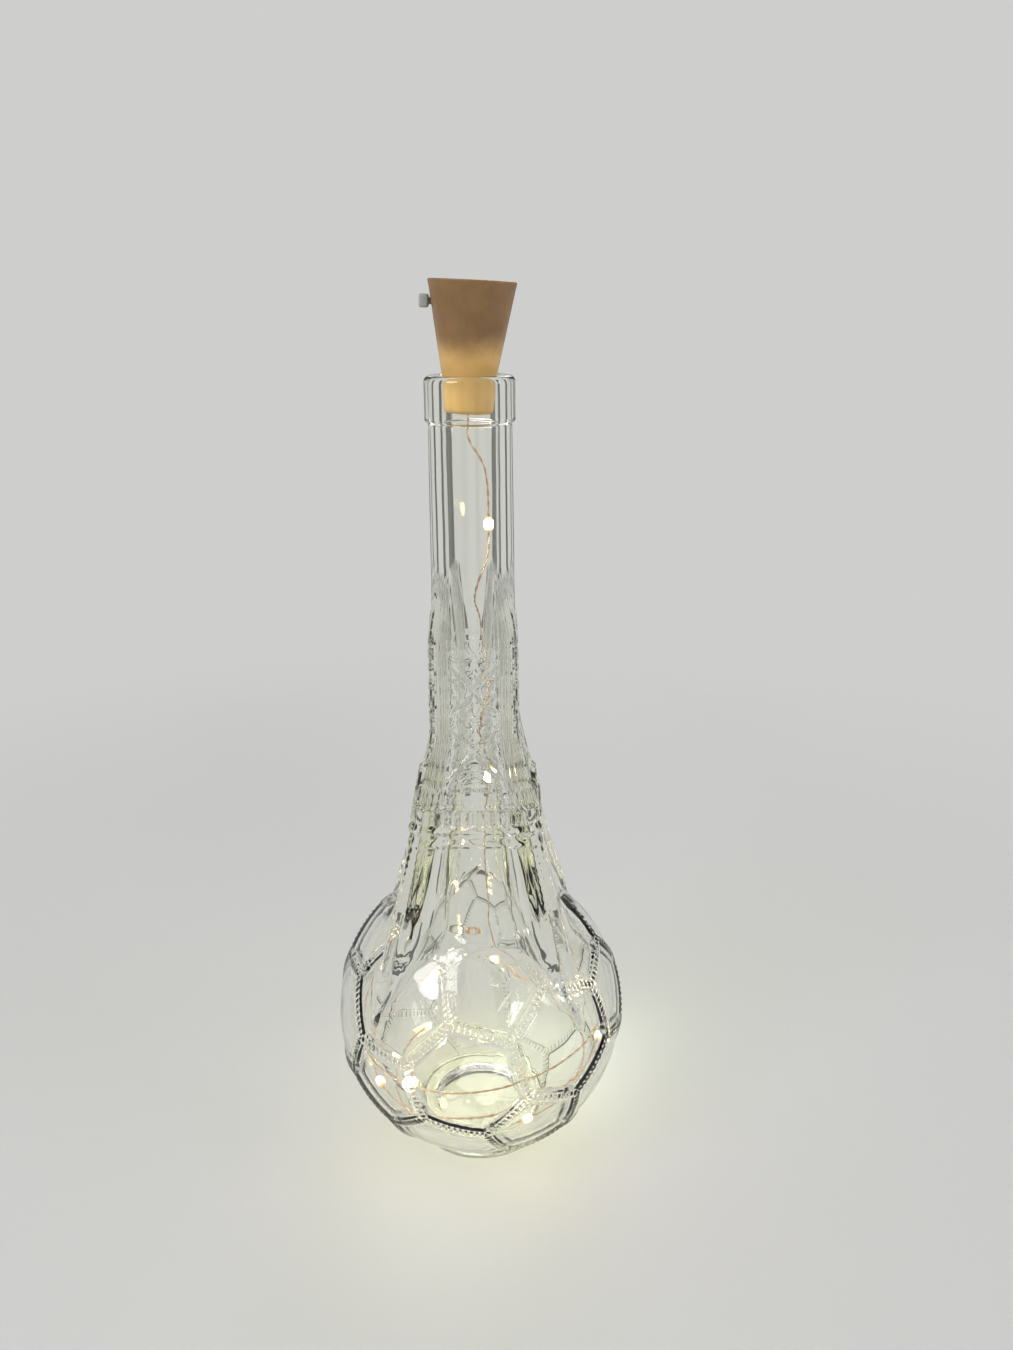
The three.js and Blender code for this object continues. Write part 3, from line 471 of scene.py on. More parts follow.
def seam_place(turn, level):
    """Signed distance from the nearest seam, and the place along it as a share of its length."""
    sine = np.clip((level - centre) / (BALL_RADIUS - SEAM_RISE / 2), -1, 1)
    cosine = np.sqrt(1 - sine**2)
    direction = np.column_stack([cosine * np.cos(turn), cosine * np.sin(turn), sine])
    nearest = np.full(len(direction), np.inf)
    along = np.zeros(len(direction))
    for first, last in SEAMS:
        middle = (first + last).normalized()
        axis = first.cross(last).normalized()
        half = first.angle(middle)
        around = np.arctan2(direction @ axis.cross(middle), direction @ middle)
        past = np.maximum(np.abs(around) - half, 0)
        beside = np.arcsin(np.clip(direction @ axis, -1, 1))
        distance = BALL_RADIUS * np.copysign(np.hypot(beside, past), beside)
        closer = np.abs(distance) < np.abs(nearest)
        nearest[closer] = distance[closer]
        along[closer] = np.clip(around[closer] / half / 2 + 0.5, 0, 1)
    return nearest, along


def leg_tail(turn, level):
    """1 on the tapered lower ends of the tower's legs, which run out on the ball."""
    ring = np.sqrt(np.maximum(BALL_RADIUS**2 - (level - centre) ** 2, 0))
    off_corner = (turn % (math.pi / 2) - math.pi / 4) * ring
    width = LEG_TAIL_WIDTH * np.clip((level - LEG_TAIL_FOOT) / (LEG_TAIL_TOP - LEG_TAIL_FOOT), 0, 1)
    return line(off_corner, width, LEG_TAIL_SOFT) * ramp(width, 0, LEG_TAIL_TIP)


def ball_radius(turn, level):
    """Distance from the axis to the ball. Each seam is a raised band with a row of stitches in a channel."""
    beside, along = seam_place(turn, level)
    away = np.abs(beside)
    ridge = SEAM_RIDGE * (1 - ramp(away, *SEAM_SIDES))
    channel = SEAM_CHANNEL * (1 - ramp(away, *CHANNEL_SIDES))
    wave = 0.5 - 0.5 * np.cos(2 * math.pi * (STITCH_COUNT * along + STITCH_SLANT * beside))
    stitches = STITCH_HEIGHT * (1 - ramp(away, *STITCH_ENDS)) * ramp(wave, *STITCH_SIDES)
    tail = LEG_TAIL * leg_tail(turn, level)
    reach = BALL_RADIUS - SEAM_RISE + ridge - channel + stitches + tail
    return np.sqrt(np.maximum(reach**2 - (level - centre) ** 2, 0))


# Tower of the bottle
# Four legs with beaded chamfers carry a moulded platform and a balustrade. Above them the stage flares in
# to a slim shaft with ribbed strips on its corners and crossed braces between them.
LEG_DROP = 31
LEG_KNEE_DROP = 14
LEG_FOOT_HALF = 35
LEG_KNEE_HALF = 32.1
LEG_CROWN_HALF = 28.3
PLATFORM_HALF = 22.8
BALUSTRADE_HALF = 21
LEG_WIDTH = 7.8
LEG_PROUD = 1.4
LEG_SOFT = 0.4
LEG_CHAMFER = 4
CHAMFER_GAIN = 1.4
BEAD_PITCH = 2.6
BEAD_WIDTH = 1.2
BEAD_SOFT = 0.9
BEAD_PROUD = 0.45
BEADS_FOOT = 4
BEADS_TOP = 1
BEADS_FADE = 2
LEDGE_HEIGHT = 2.7
LEDGE_PROUD = 0.6
LEDGE_SOFT = 0.6
RAIL_HEIGHT = 1.5
BALUSTER_PITCH = 3.4
BALUSTER_WIDTH = 1.5
BALUSTER_PROUD = 1.3
BALUSTER_SOFT = 0.6
BALUSTER_END_SOFT = 0.4
UPPER_HALF = 14.5
FLARE_FOOT_HALF = 19.2
FLARE_HEIGHT = 24
FLARE_CURVE = 1.3
STAGE_SOFT = 0.3
ROUND_POWER = 2
SQUARE_POWER = 8
SQUARE_CURVE = 1.5
STRIP_PROUD = 0.7
STRIP_SHARE = 4 / 9
STRIP_SOFT = 0.02
STRIP_CHAMFER = 2.6
STRIP_SINK = 26
RIBS = 4
RIB_DEPTH = 0.85
RIB_END = 2
BRACE_FOOT = 6
BRACE_PANELS = 2
BRACE_PANEL_HEIGHT = 22
BRACE_WIDTH = 1.2
BRACE_PROUD = 0.75
LACE_PANELS = 8
LACE_WIDTH = 0.9
LACE_PROUD = 0.25
BAR_SOFT = 0.8
LATTICE_FADE = 0.2
NECK_BLEND_FOOT = 2
NECK_BLEND_TOP = 1
EDGE_FILLET = 0.4
LEG_FILLET = 2
INNER_FILLET = 8
INNER_BLEND_TOP = 2

leg_half = smooth_through(
    [crown - LEG_DROP, crown - LEG_KNEE_DROP, crown, platform, upper_foot],
    [LEG_FOOT_HALF, LEG_KNEE_HALF, LEG_CROWN_HALF, PLATFORM_HALF, BALUSTRADE_HALF],
)
brace_top = upper_foot + BRACE_FOOT + BRACE_PANELS * BRACE_PANEL_HEIGHT


def upper_half(level):
    """Half-width of the upper stage between its corner strips."""
    share = (neck_foot - level) / (neck_foot - upper_foot)
    left = np.clip(1 - (level - upper_foot) / FLARE_HEIGHT, 0, 1)
    shaft = NECK_FOOT_RADIUS + (UPPER_HALF - NECK_FOOT_RADIUS) * share
    return shaft + (FLARE_FOOT_HALF - UPPER_HALF) * left**FLARE_CURVE


def segment_distance(across, level, start, end):
    """Distance of places on a face from a straight bar between two others."""
    (u0, z0), (u1, z1) = start, end
    length = (u1 - u0) ** 2 + (z1 - z0) ** 2
    share = np.clip(((across - u0) * (u1 - u0) + (level - z0) * (z1 - z0)) / length, 0, 1)
    return np.hypot(across - u0 - share * (u1 - u0), level - z0 - share * (z1 - z0))


def lattice(across, level):
    """Height of the braces on a face of the upper stage: bold crosses over finer ones and level bars."""
    foot = upper_foot + BRACE_FOOT
    height = BRACE_PROUD * line(level - foot, BRACE_WIDTH, BAR_SOFT)
    bold = (BRACE_PANELS, BRACE_WIDTH, BRACE_PROUD)
    fine = (LACE_PANELS, LACE_WIDTH, LACE_PROUD)
    for panels, width, proud in (bold, fine):
        step = BRACE_PANELS * BRACE_PANEL_HEIGHT / panels
        for low in foot + step * np.arange(panels):
            high = low + step
            below, above = (float(upper_half(z)) * (1 - STRIP_SHARE) + width for z in (low, high))
            if panels == BRACE_PANELS:
                bars = [((-below, low), (above, high)), ((below, low), (-above, high))]
                bars.append(((-above, high), (above, high)))
            else:
                ends = ((below, low), (above, high))
                bars = [((side * u, z), (0, low + high - z)) for side in (-1, 1) for u, z in ends]
            for start, end in bars:
                bar = proud * line(segment_distance(across, level, start, end), width, BAR_SOFT)
                height = np.maximum(height, bar)
    return height


def lower_stage(local, level):
    """Distance from the axis to the legs, platform and balustrade, by the turn from a face's middle."""
    cosine = np.cos(local)
    slant = cosine + np.abs(np.sin(local))
    half = leg_half(level)
    across = half * np.tan(local)
    leg = 1 - ramp(half - np.abs(across), LEG_WIDTH - LEG_SOFT, LEG_WIDTH + LEG_SOFT)
    off_baluster = ((across / BALUSTER_PITCH + 0.5) % 1 - 0.5) * BALUSTER_PITCH
    balusters = line(off_baluster, BALUSTER_WIDTH, BALUSTER_SOFT)
    balusters = balusters * band(level, balustrade, upper_foot - RAIL_HEIGHT, BALUSTER_END_SOFT)
    off_bead = (level / BEAD_PITCH % 1 - 0.5) * BEAD_PITCH
    beads = line(off_bead, BEAD_WIDTH, BEAD_SOFT)
    beads = beads * band(level, crown - BEADS_FOOT, platform - BEADS_TOP, BEADS_FADE)
    face = half - LEG_PROUD * (1 - leg) + BALUSTER_PROUD * balusters * (1 - leg)
    edge = 2 * half - LEG_CHAMFER + CHAMFER_GAIN * BEAD_PROUD * beads
    ledges = (
        (platform, platform + LEDGE_HEIGHT, LEDGE_PROUD / 2),
        (balustrade - LEDGE_HEIGHT, balustrade, LEDGE_PROUD),
        (upper_foot - RAIL_HEIGHT, upper_foot, 0),
    )
    for low, high, proud in ledges:
        shelf = band(level, low + LEDGE_SOFT / 2, high - LEDGE_SOFT / 2, LEDGE_SOFT)
        face = face + (half + proud - face) * shelf
        edge = edge + CHAMFER_GAIN * proud * shelf
    return -soft_max(-face / cosine, -edge / slant, EDGE_FILLET)


def upper_stage(local, level):
    """Distance from the axis to the shaft, its braces and its corner strips, which sink below the neck."""
    cosine = np.cos(local)
    slant = cosine + np.abs(np.sin(local))
    share = np.clip((neck_foot - level) / (neck_foot - upper_foot), 0, 1)
    shaft = upper_half(level)
    power = ROUND_POWER + (SQUARE_POWER - ROUND_POWER) * share**SQUARE_CURVE
    core = shaft / (np.abs(cosine) ** power + np.abs(np.sin(local)) ** power) ** (1 / power)
    core = core + lattice(shaft * np.tan(local), level) / cosine * ramp(share, 0, LATTICE_FADE)
    strip_half = shaft + STRIP_PROUD
    inset = 1 - np.abs(np.tan(local))
    strip = 1 - ramp(inset, STRIP_SHARE - STRIP_SOFT, STRIP_SHARE + STRIP_SOFT)
    post = -soft_max(-strip_half / cosine, -(2 * strip_half - STRIP_CHAMFER) / slant, EDGE_FILLET)
    sunk = ramp(level, neck_foot - STRIP_SINK, neck_foot)
    stage = core + np.maximum(post - core, 0) * strip * (1 - sunk)
    ribs = 0.5 - 0.5 * np.cos(2 * math.pi * RIBS * inset / STRIP_SHARE)
    ribs = ribs * (1 - ramp(level, neck_foot - STRIP_SINK / 2, neck_foot - RIB_END))
    return stage - RIB_DEPTH * ribs * strip / cosine


def face_turn(turn):
    """Turn from the middle of the nearest of the tower's four faces."""
    return (turn + math.pi / 4) % (math.pi / 2) - math.pi / 4


def tower_radius(turn, level):
    """Distance from the axis to the tower's skin."""
    local = face_turn(turn)
    lower = lower_stage(local, level)
    rise = ramp(level, upper_foot - STAGE_SOFT, upper_foot + STAGE_SOFT)
    tower = lower + (upper_stage(local, level) - lower) * rise
    up_neck = (level - neck_foot) / (collar_foot - neck_foot)
    neck = NECK_FOOT_RADIUS + (NECK_TOP_RADIUS - NECK_FOOT_RADIUS) * up_neck
    tower = tower + (neck - tower) * ramp(level, neck_foot - NECK_BLEND_FOOT, neck_foot + NECK_BLEND_TOP)
    return np.where(level > crown - LEG_DROP, tower, 0)


def skin_radius(turn, level):
    """Distance from the axis to the bottle's outer skin, from the foot up to the collar."""
    foot = FOOT_RADIUS - FOOT_TAPER * np.maximum(level - FOOT_HEIGHT, 0)
    foot = np.where(level < centre / 2, foot, 0)
    body = soft_max(ball_radius(turn, level), tower_radius(turn, level), LEG_FILLET)
    return soft_max(body, foot, EDGE_FILLET)


def inner_radius(level):
    """Distance from the axis to the inside of the bottle."""
    ball = np.sqrt(np.maximum(CAVITY_RADIUS**2 - (level - centre) ** 2, 0))
    lower = leg_half(level) - LEG_PROUD - NECK_WALL
    upper = np.maximum(upper_half(np.minimum(level, neck_foot)) - NECK_WALL, BORE_RADIUS)
    neck = lower + (upper - lower) * ramp(level, balustrade, upper_foot + INNER_BLEND_TOP)
    return np.where(level > centre, soft_max(ball, neck, INNER_FILLET), ball)


def arc(radius, level, reach, first, last, steps):
    """Points of a profile on an arc, by the angles of its ends in degrees."""
    angles = np.radians(np.linspace(first, last, steps + 1))
    return [(radius + reach * math.cos(a), level + reach * math.sin(a)) for a in angles]


# Rows of the skin, closer together where the relief is finer, and the profile of the plain rest
BALL_ROWS = (-57, 44, 3.6)
FOOT_ROW = 0.6
LEG_ROW = 0.87
LATTICE_ROW = 0.72
SHAFT_ROW = 1.8
NECK_ROW = 3.2
SHOULDER = 30
BORE_ROW = 5
SHAFT_INNER_ROW = 4
SHOULDER_ROW = 2
CAVITY_STEPS = 22
ball_rows = centre + (BALL_RADIUS - SEAM_RIDGE) * np.sin(np.radians(np.arange(*BALL_ROWS)))
skin_rows = np.concatenate([
    np.arange(FOOT_HEIGHT - 0.3, ball_rows[0] - 0.4, FOOT_ROW),
    ball_rows,
    np.arange(ball_rows[-1] + 0.9, platform - 0.5, LEG_ROW),
    np.arange(platform - 0.3, brace_top + 1, LATTICE_ROW),
    np.arange(brace_top + 2, neck_foot + 3, SHAFT_ROW),
    np.arange(neck_foot + 5, collar_foot - 1, NECK_ROW),
])
push_reach = FOOT_RADIUS - FOOT_ROUND - STANDING_RING
under = [(push_reach * math.sin(a), PUSH_UP * math.cos(a)) for a in np.linspace(0, math.pi / 2, 9)]
under += arc(FOOT_RADIUS - FOOT_ROUND, FOOT_ROUND, FOOT_ROUND, -90, 0, 5)
collar = [(NECK_TOP_RADIUS, collar_foot - 0.6), (NECK_TOP_RADIUS + 0.15, collar_foot - 0.1)]
collar += arc(COLLAR_RADIUS - COLLAR_UNDER_ROUND, collar_foot + 0.95, COLLAR_UNDER_ROUND, -75, 0, 5)
collar += [(COLLAR_RADIUS, mouth - 2 * COLLAR_ROUND - 3), (COLLAR_RADIUS, mouth - COLLAR_ROUND - 0.6)]
collar += arc(COLLAR_RADIUS - COLLAR_ROUND, mouth - COLLAR_ROUND, COLLAR_ROUND, 0, 90, 7)
collar += arc(BORE_RADIUS + LIP_ROUND, mouth - LIP_ROUND, LIP_ROUND, 90, 180, 6)
floor_level = PUSH_UP + BASE_THICKNESS
shoulder = centre + SHOULDER
inside_rows = np.concatenate([
    np.arange(mouth - 4, neck_foot, -BORE_ROW),
    np.arange(neck_foot, shoulder + 28, -SHAFT_INNER_ROW),
    np.arange(shoulder + 26, shoulder + 1, -SHOULDER_ROW),
])
inside = [(float(inner_radius(z)), z) for z in inside_rows]
floor_turn = math.degrees(math.asin((floor_level + 1 - centre) / CAVITY_RADIUS))
shoulder_turn = math.degrees(math.asin((shoulder - centre) / CAVITY_RADIUS))
inside += arc(0, centre, CAVITY_RADIUS, shoulder_turn, floor_turn, CAVITY_STEPS)
floor_reach = inside[-1][0]
inside += [(floor_reach - 1.2, floor_level + 0.2), (floor_reach - 4, floor_level)]
inside += [(8, floor_level), (0, floor_level)]

# Columns of the skin, which crowd towards the legs and turn with the tower's faces
COLUMNS = 96
CROWDING = 0.75
SQUARE_FOOT = 15
SQUARE_FULL = 8
ROUND_FOOT = 5
ROUND_FULL = 2
TOWER_COLUMNS = ((crown - 18, balustrade, 1), (balustrade, neck_foot, 2))
SEAM_PASSES = ((2.8, True), (1.9, True), (1.25, False))
SEAM_TOP = 6
SEAM_SQUARE = 0.62
TOWER_COVER = 0.5
MOULDED = 0.99


def plain_radius(level):
    """Rough distance from the axis to the skin, to judge the size of its squares."""
    if level < crown - LEG_KNEE_DROP:
        return math.sqrt(max(BALL_RADIUS**2 - (level - centre) ** 2, 0))
    return float(leg_half(level) if level < upper_foot else upper_half(level))


def skin_turn(turn, level):
    """Turn of a column of the skin: even round the ball, closer at the legs, even across the upper faces."""
    local = face_turn(turn)
    share = local / (math.pi / 4)
    closer = CROWDING * (1 - ramp(level, balustrade, upper_foot))
    share = share + closer * (np.sin(share * math.pi / 2) - share)
    square = np.arctan(share) - local
    above_ball = ramp(level, centre + SQUARE_FOOT, crown - SQUARE_FULL)
    up_neck = ramp(level, neck_foot - ROUND_FOOT, collar_foot - ROUND_FULL)
    return turn + square * above_ball * (1 - up_neck)


glass = bmesh.new()
moulded = glass.verts.layers.float.new("moulded")
chain = [glass.verts.new((radius, 0, level)) for radius, level in under]
for level in skin_rows:
    chain.append(glass.verts.new((max(plain_radius(level), NECK_TOP_RADIUS), 0, level)))
    chain[-1][moulded] = 1
chain += [glass.verts.new((radius, 0, level)) for radius, level in collar + inside]
turn_round(glass, chain, COLUMNS)


def on_skin(edge):
    """Whether both ends of an edge lie on the moulded skin."""
    return min(v[moulded] for v in edge.verts) > MOULDED


def skin_places():
    """The points of the moulded skin, with their turns and levels."""
    points = [v for v in glass.verts if v[moulded] > MOULDED]
    places = np.array([v.co for v in points])
    level = places[:, 2]
    return points, skin_turn(np.arctan2(places[:, 1], places[:, 0]), level), level


def refine(edges, cuts):
    """Cuts edges of the glass, and the squares between them."""
    bmesh.ops.subdivide_edges(glass, edges=edges, cuts=cuts, use_grid_fill=True, use_single_edge=True)


# Finer columns on the tower, then finer squares along the seams and the lower ends of the legs
for low, high, cuts in TOWER_COLUMNS:
    level_edges = []
    for edge in glass.edges:
        near_end, far_end = (v.co.z for v in edge.verts)
        if on_skin(edge) and abs(near_end - far_end) < JOIN_DISTANCE and low < near_end <= high:
            level_edges.append(edge)
    refine(level_edges, cuts)
for reach, tails in SEAM_PASSES:
    points, turn, level = skin_places()
    shown = tower_radius(turn, level) < ball_radius(turn, level) + TOWER_COVER
    close = (np.abs(seam_place(turn, level)[0]) < reach) & (level < crown - SEAM_TOP)
    if tails:
        close = close | (leg_tail(turn, level) > 0.01)
    near = [v for v, chosen in zip(points, close & shown) if chosen]
    faces = {f for v in near for f in v.link_faces if f.calc_area() > SEAM_SQUARE**2}
    refine(list({e for f in faces for e in f.edges if on_skin(e)}), 1)

points, turn, level = skin_places()
radius = skin_radius(turn, level)
for v, x, y in zip(points, radius * np.cos(turn), radius * np.sin(turn)):
    v.co.x = x
    v.co.y = y
bmesh.ops.scale(glass, vec=(MM, MM, MM), verts=glass.verts)
glass_mesh = mesh_of(glass, "glass_bottle_skin")

# Finish of the glass: a slight yellow-green tint in its depth, and a light shadow
GLASS_FACE = (0.985, 0.99, 0.965, 1)
GLASS_SHADOW = (0.9, 0.92, 0.86, 1)
GLASS_DEPTH = (0.84, 0.86, 0.6, 1)
GLASS_DENSITY = 12.0
clear_glass, start, coords = new_material("clear_glass")
ripple = noise(coords, 45, detail=2)
body = start.node("BsdfPrincipled", sockets={
    "Base Color": GLASS_FACE,
    "Roughness": 0.01 + 0.03 * noise(coords, 160),
    "IOR": 1.5,
    "Transmission Weight": 1.0,
    "Normal": bump(ripple, 0.25, 0.0006),
})
shadow = start.node("LightPath", output="Is Shadow Ray")
through = start.node("BsdfTransparent", sockets={"Color": GLASS_SHADOW})
tint = start.node("VolumeAbsorption", sockets={"Color": GLASS_DEPTH, "Density": GLASS_DENSITY})
output(start.node("MixShader", sockets={0: shadow, 1: body, 2: through}), tint)
bottle = new_piece("bottle_glass", glass_mesh, clear_glass)
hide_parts("glass_bottle")
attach(bottle, "bottle")


# Stopper shell
# A tapered, translucent moulding the colour of cork, hollow for the cells, with a slot in its side for the
# switch. It leans a little in the bottle's mouth. Its sizes are measured up its own axis from the mouth.
LEAN = math.radians(3)
SEAT_DEPTH = 11
TIP_RADIUS = 7.75
TIP_ROUND = 1.5
MOUTH_RADIUS = 8.45
TAPER = 0.181
STOPPER_TOP = 26.99
SHELL_WALL = 1.8
LID_RIM = 1
LEDGE_LEVEL = 24.29
WIRE_HOLE = 2.1
INNER_FLOOR = -9
SLOT_WIDTH = 2.4
SLOT_LOW = 17.39
SLOT_HIGH = 21.99
EDGE_ROUND = 0.4
SIDE_LEVELS = (2, 6, 10, 14, 18, 22, 25)
WALL_LEVELS = (LEDGE_LEVEL, 22, 18, 14, 10, 6, 0)
STOPPER_COLUMNS = 96
# Painted light and shade: the shell's lower part is painted a lit amber, as if the light string shone up
# into it, and its upper part a shaded brown over the cells.
SHADE_FOOT = 4
SHADE_TOP = 12.5
SHADE_WAVER = 0.0008
LIT_PALE = (0.78, 0.5, 0.18, 1)
LIT_DEEP = (0.7, 0.43, 0.14, 1)
SHADED_PALE = (0.31, 0.175, 0.07, 1)
SHADED_DEEP = (0.25, 0.138, 0.052, 1)

at_mouth = Matrix.Translation((0, 0, mouth * MM))
stopper_place = at_mouth @ Matrix.Rotation(LEAN, 4, "Y") @ Matrix.Scale(MM, 4)


def taper_radius(level):
    """Radius of the stopper's tapered side."""
    return MOUTH_RADIUS + TAPER * level


def spun(points, columns, closed=False):
    """Form turned from a profile of radii and levels."""
    form = bmesh.new()
    turn_round(form, [form.verts.new((radius, 0, level)) for radius, level in points], columns, closed)
    return form


def cut(form, point, normal):
    """Cuts a form's faces along a plane and keeps both sides."""
    whole = form.verts[:] + form.edges[:] + form.faces[:]
    bmesh.ops.bisect_plane(form, geom=whole, dist=1e-5, plane_co=point, plane_no=normal)


def finished(form, name):
    """The mesh of a form in the stopper's frame."""
    bmesh.ops.transform(form, matrix=stopper_place, verts=form.verts)
    return mesh_of(form, name)


top = taper_radius(STOPPER_TOP)
tip = arc(TIP_RADIUS - TIP_ROUND, TIP_ROUND - SEAT_DEPTH, TIP_ROUND, -90, 0, 8)
side = [(taper_radius(level), level) for level in SIDE_LEVELS]
crest = arc(top - EDGE_ROUND, STOPPER_TOP - EDGE_ROUND, EDGE_ROUND, -10, 90, 5)
seat = [(top - LID_RIM, STOPPER_TOP), (taper_radius(LEDGE_LEVEL) - LID_RIM, LEDGE_LEVEL)]
wall = [(taper_radius(level) - SHELL_WALL, level) for level in WALL_LEVELS]
floor_ring = [(TIP_RADIUS - SHELL_WALL, INNER_FLOOR), (WIRE_HOLE, INNER_FLOOR)]
outer = [(WIRE_HOLE, -SEAT_DEPTH), *tip, (MOUTH_RADIUS, 0), *side, *crest]
shell = spun([*outer, *seat, *wall, *floor_ring], STOPPER_COLUMNS, closed=True)
for half_width in (SLOT_WIDTH / 2, -SLOT_WIDTH / 2):
    cut(shell, (0, half_width, 0), (0, 1, 0))
for level in (SLOT_LOW, SLOT_HIGH):
    cut(shell, (0, 0, level), (0, 0, 1))
slot_faces = []
for face in shell.faces:
    middle = face.calc_center_median()
    if middle.x < 0 and abs(middle.y) < SLOT_WIDTH / 2 and SLOT_LOW < middle.z < SLOT_HIGH:
        slot_faces.append(face)
bmesh.ops.delete(shell, geom=slot_faces, context="FACES")
bmesh.ops.bridge_loops(shell, edges=[e for e in shell.edges if e.is_boundary])
bmesh.ops.recalc_face_normals(shell, faces=shell.faces)

cork_plastic, start, coords = new_material("cork_plastic")
height = start.node("SeparateXYZ", sockets={"Vector": coords}, output="Z")
mottle = noise(coords, 170, detail=5).ramp(0.3, 0.72)
# Painted shade: the colour turns from the painted lit amber to the painted shaded brown, a little above the
# foot of the cells.
painted_shade_over_cells = (height + SHADE_WAVER * mottle).ramp((mouth + SHADE_FOOT) * MM, (mouth + SHADE_TOP) * MM)
lit = mottle.mix(LIT_PALE, LIT_DEEP)
shaded = mottle.mix(SHADED_PALE, SHADED_DEEP)
output(start.node("BsdfPrincipled", sockets={
    "Base Color": painted_shade_over_cells.mix(lit, shaded),
    "Roughness": 0.34 + 0.14 * mottle,
    "Subsurface Weight": 0.5,
    "Subsurface Scale": 0.002,
    "Subsurface Radius": (1.0, 0.55, 0.25),
    "Transmission Weight": 0.1,
    "Normal": bump(mottle + 0.4 * noise(coords, 1400, detail=2), 0.2, 0.0003),
}))
shell_mesh = finished(shell, "stopper_shell_moulding")
stopper_shell = new_piece("stopper_shell_moulding", shell_mesh, cork_plastic)
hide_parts("stopper_shell")
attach(stopper_shell, "stopper")


# Battery lid
# A press-in disc of the same plastic in the stopper's top, with a notch in its rim for a fingernail.
LID_FOOT = 24.59
LID_GAP = 0.3
LID_FOOT_ROUND = 0.25
LID_NOTCH = 4
LID_NOTCH_DEPTH = 0.9
NOTCH_SLOPE = 0.1
TOUCH = 0.01
rim = top - LID_RIM - LID_GAP
foot = taper_radius(LID_FOOT) - LID_RIM - LID_GAP
under_lid = [(0, LID_FOOT), (foot * 0.5, LID_FOOT)]
under_lid += arc(foot - LID_FOOT_ROUND, LID_FOOT + LID_FOOT_ROUND, LID_FOOT_ROUND, -90, -8, 3)
over_lid = arc(rim - EDGE_ROUND, STOPPER_TOP - EDGE_ROUND, EDGE_ROUND, 0, 90, 5)
over_lid += [(rim * 0.8, STOPPER_TOP), (rim * 0.4, STOPPER_TOP), (0, STOPPER_TOP)]
lid = spun([*under_lid, *over_lid], STOPPER_COLUMNS)
notch_foot = STOPPER_TOP - LID_NOTCH_DEPTH
for half_width in (LID_NOTCH / 2, LID_NOTCH / 2 + NOTCH_SLOPE):
    cut(lid, (half_width, 0, 0), (1, 0, 0))
    cut(lid, (-half_width, 0, 0), (1, 0, 0))
for level in (notch_foot, notch_foot - NOTCH_SLOPE):
    cut(lid, (0, 0, level), (0, 0, 1))
for v in lid.verts:
    if abs(v.co.x) < LID_NOTCH / 2 + TOUCH and v.co.z > notch_foot - TOUCH:
        v.co.y = max(v.co.y, LID_NOTCH_DEPTH - rim)
lid_mesh = finished(lid, "battery_lid_disc")
battery_lid = new_piece("battery_lid_disc", lid_mesh, cork_plastic)
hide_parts("battery_lid")
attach(battery_lid, "battery_lid")


# Switch knob
# A small grey translucent moulding, ridged for the finger, on a stem that reaches through the slot.
KNOB_OUT = -15.76
KNOB_IN = -12.86
KNOB_WIDTH = 3.6
KNOB_LOW = 18.69
KNOB_HIGH = 22.69
KNOB_ROUND = 0.7
KNOB_ROUND_STEPS = 4
STEM_END = -8.5
STEM_WIDTH = 1.8
STEM_HEIGHT = 2
STEM_INSET = 0.3
RIDGE_PITCH = 0.7
RIDGE_DEPTH = 0.22
RIDGE_STEPS = 6
FACE_DEPTH = 0.05
GREY_DEEP = (0.3, 0.32, 0.3, 1)
GREY_PALE = (0.4, 0.42, 0.39, 1)
knob = bmesh.new()
knob_size = Matrix.Diagonal((KNOB_IN - KNOB_OUT, KNOB_WIDTH, KNOB_HIGH - KNOB_LOW, 1))
knob_middle = Vector(((KNOB_IN + KNOB_OUT) / 2, 0, (KNOB_LOW + KNOB_HIGH) / 2))
bmesh.ops.create_cube(knob, size=1, matrix=Matrix.Translation(knob_middle) @ knob_size)
bmesh.ops.bevel(
    knob, geom=knob.edges[:], offset=KNOB_ROUND, affect="EDGES", segments=KNOB_ROUND_STEPS, profile=0.5,
    material=-1,
)
back = max(knob.faces, key=lambda f: f.normal.x * f.calc_area())
bmesh.ops.inset_region(knob, faces=[back], thickness=STEM_INSET, use_even_offset=True)
for v in back.verts:
    v.co.y = math.copysign(STEM_WIDTH / 2, v.co.y)
    v.co.z = knob_middle.z + math.copysign(STEM_HEIGHT / 2, v.co.z - knob_middle.z)
stem = bmesh.ops.extrude_face_region(knob, geom=[back])["geom"]
stem_end = [v for v in stem if isinstance(v, bmesh.types.BMVert)]
bmesh.ops.delete(knob, geom=[back], context="FACES_ONLY")
for v in stem_end:
    v.co.x = STEM_END
for level in np.arange(KNOB_LOW + KNOB_ROUND, KNOB_HIGH - KNOB_ROUND, RIDGE_PITCH / RIDGE_STEPS):
    cut(knob, (0, 0, level), (0, 0, 1))
for v in knob.verts:
    if v.co.x < KNOB_OUT + FACE_DEPTH:
        ridge_turn = 2 * math.pi * (v.co.z - knob_middle.z) / RIDGE_PITCH
        v.co.x += RIDGE_DEPTH * (0.5 - 0.5 * math.cos(ridge_turn))
bmesh.ops.recalc_face_normals(knob, faces=knob.faces)

grey_plastic, start, coords = new_material("grey_plastic")
haze = noise(coords, 700, detail=4)
output(start.node("BsdfPrincipled", sockets={
    "Base Color": haze.mix(GREY_DEEP, GREY_PALE),
    "Roughness": 0.3 + 0.2 * haze,
    "Subsurface Weight": 0.3,
    "Subsurface Scale": 0.002,
    "Normal": bump(haze, 0.15, 0.0002),
}))
knob_mesh = finished(knob, "switch_knob_moulding")
switch_knob = new_piece("switch_knob_moulding", knob_mesh, grey_plastic)
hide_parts("switch_knob")
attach(switch_knob, "switch_knob")


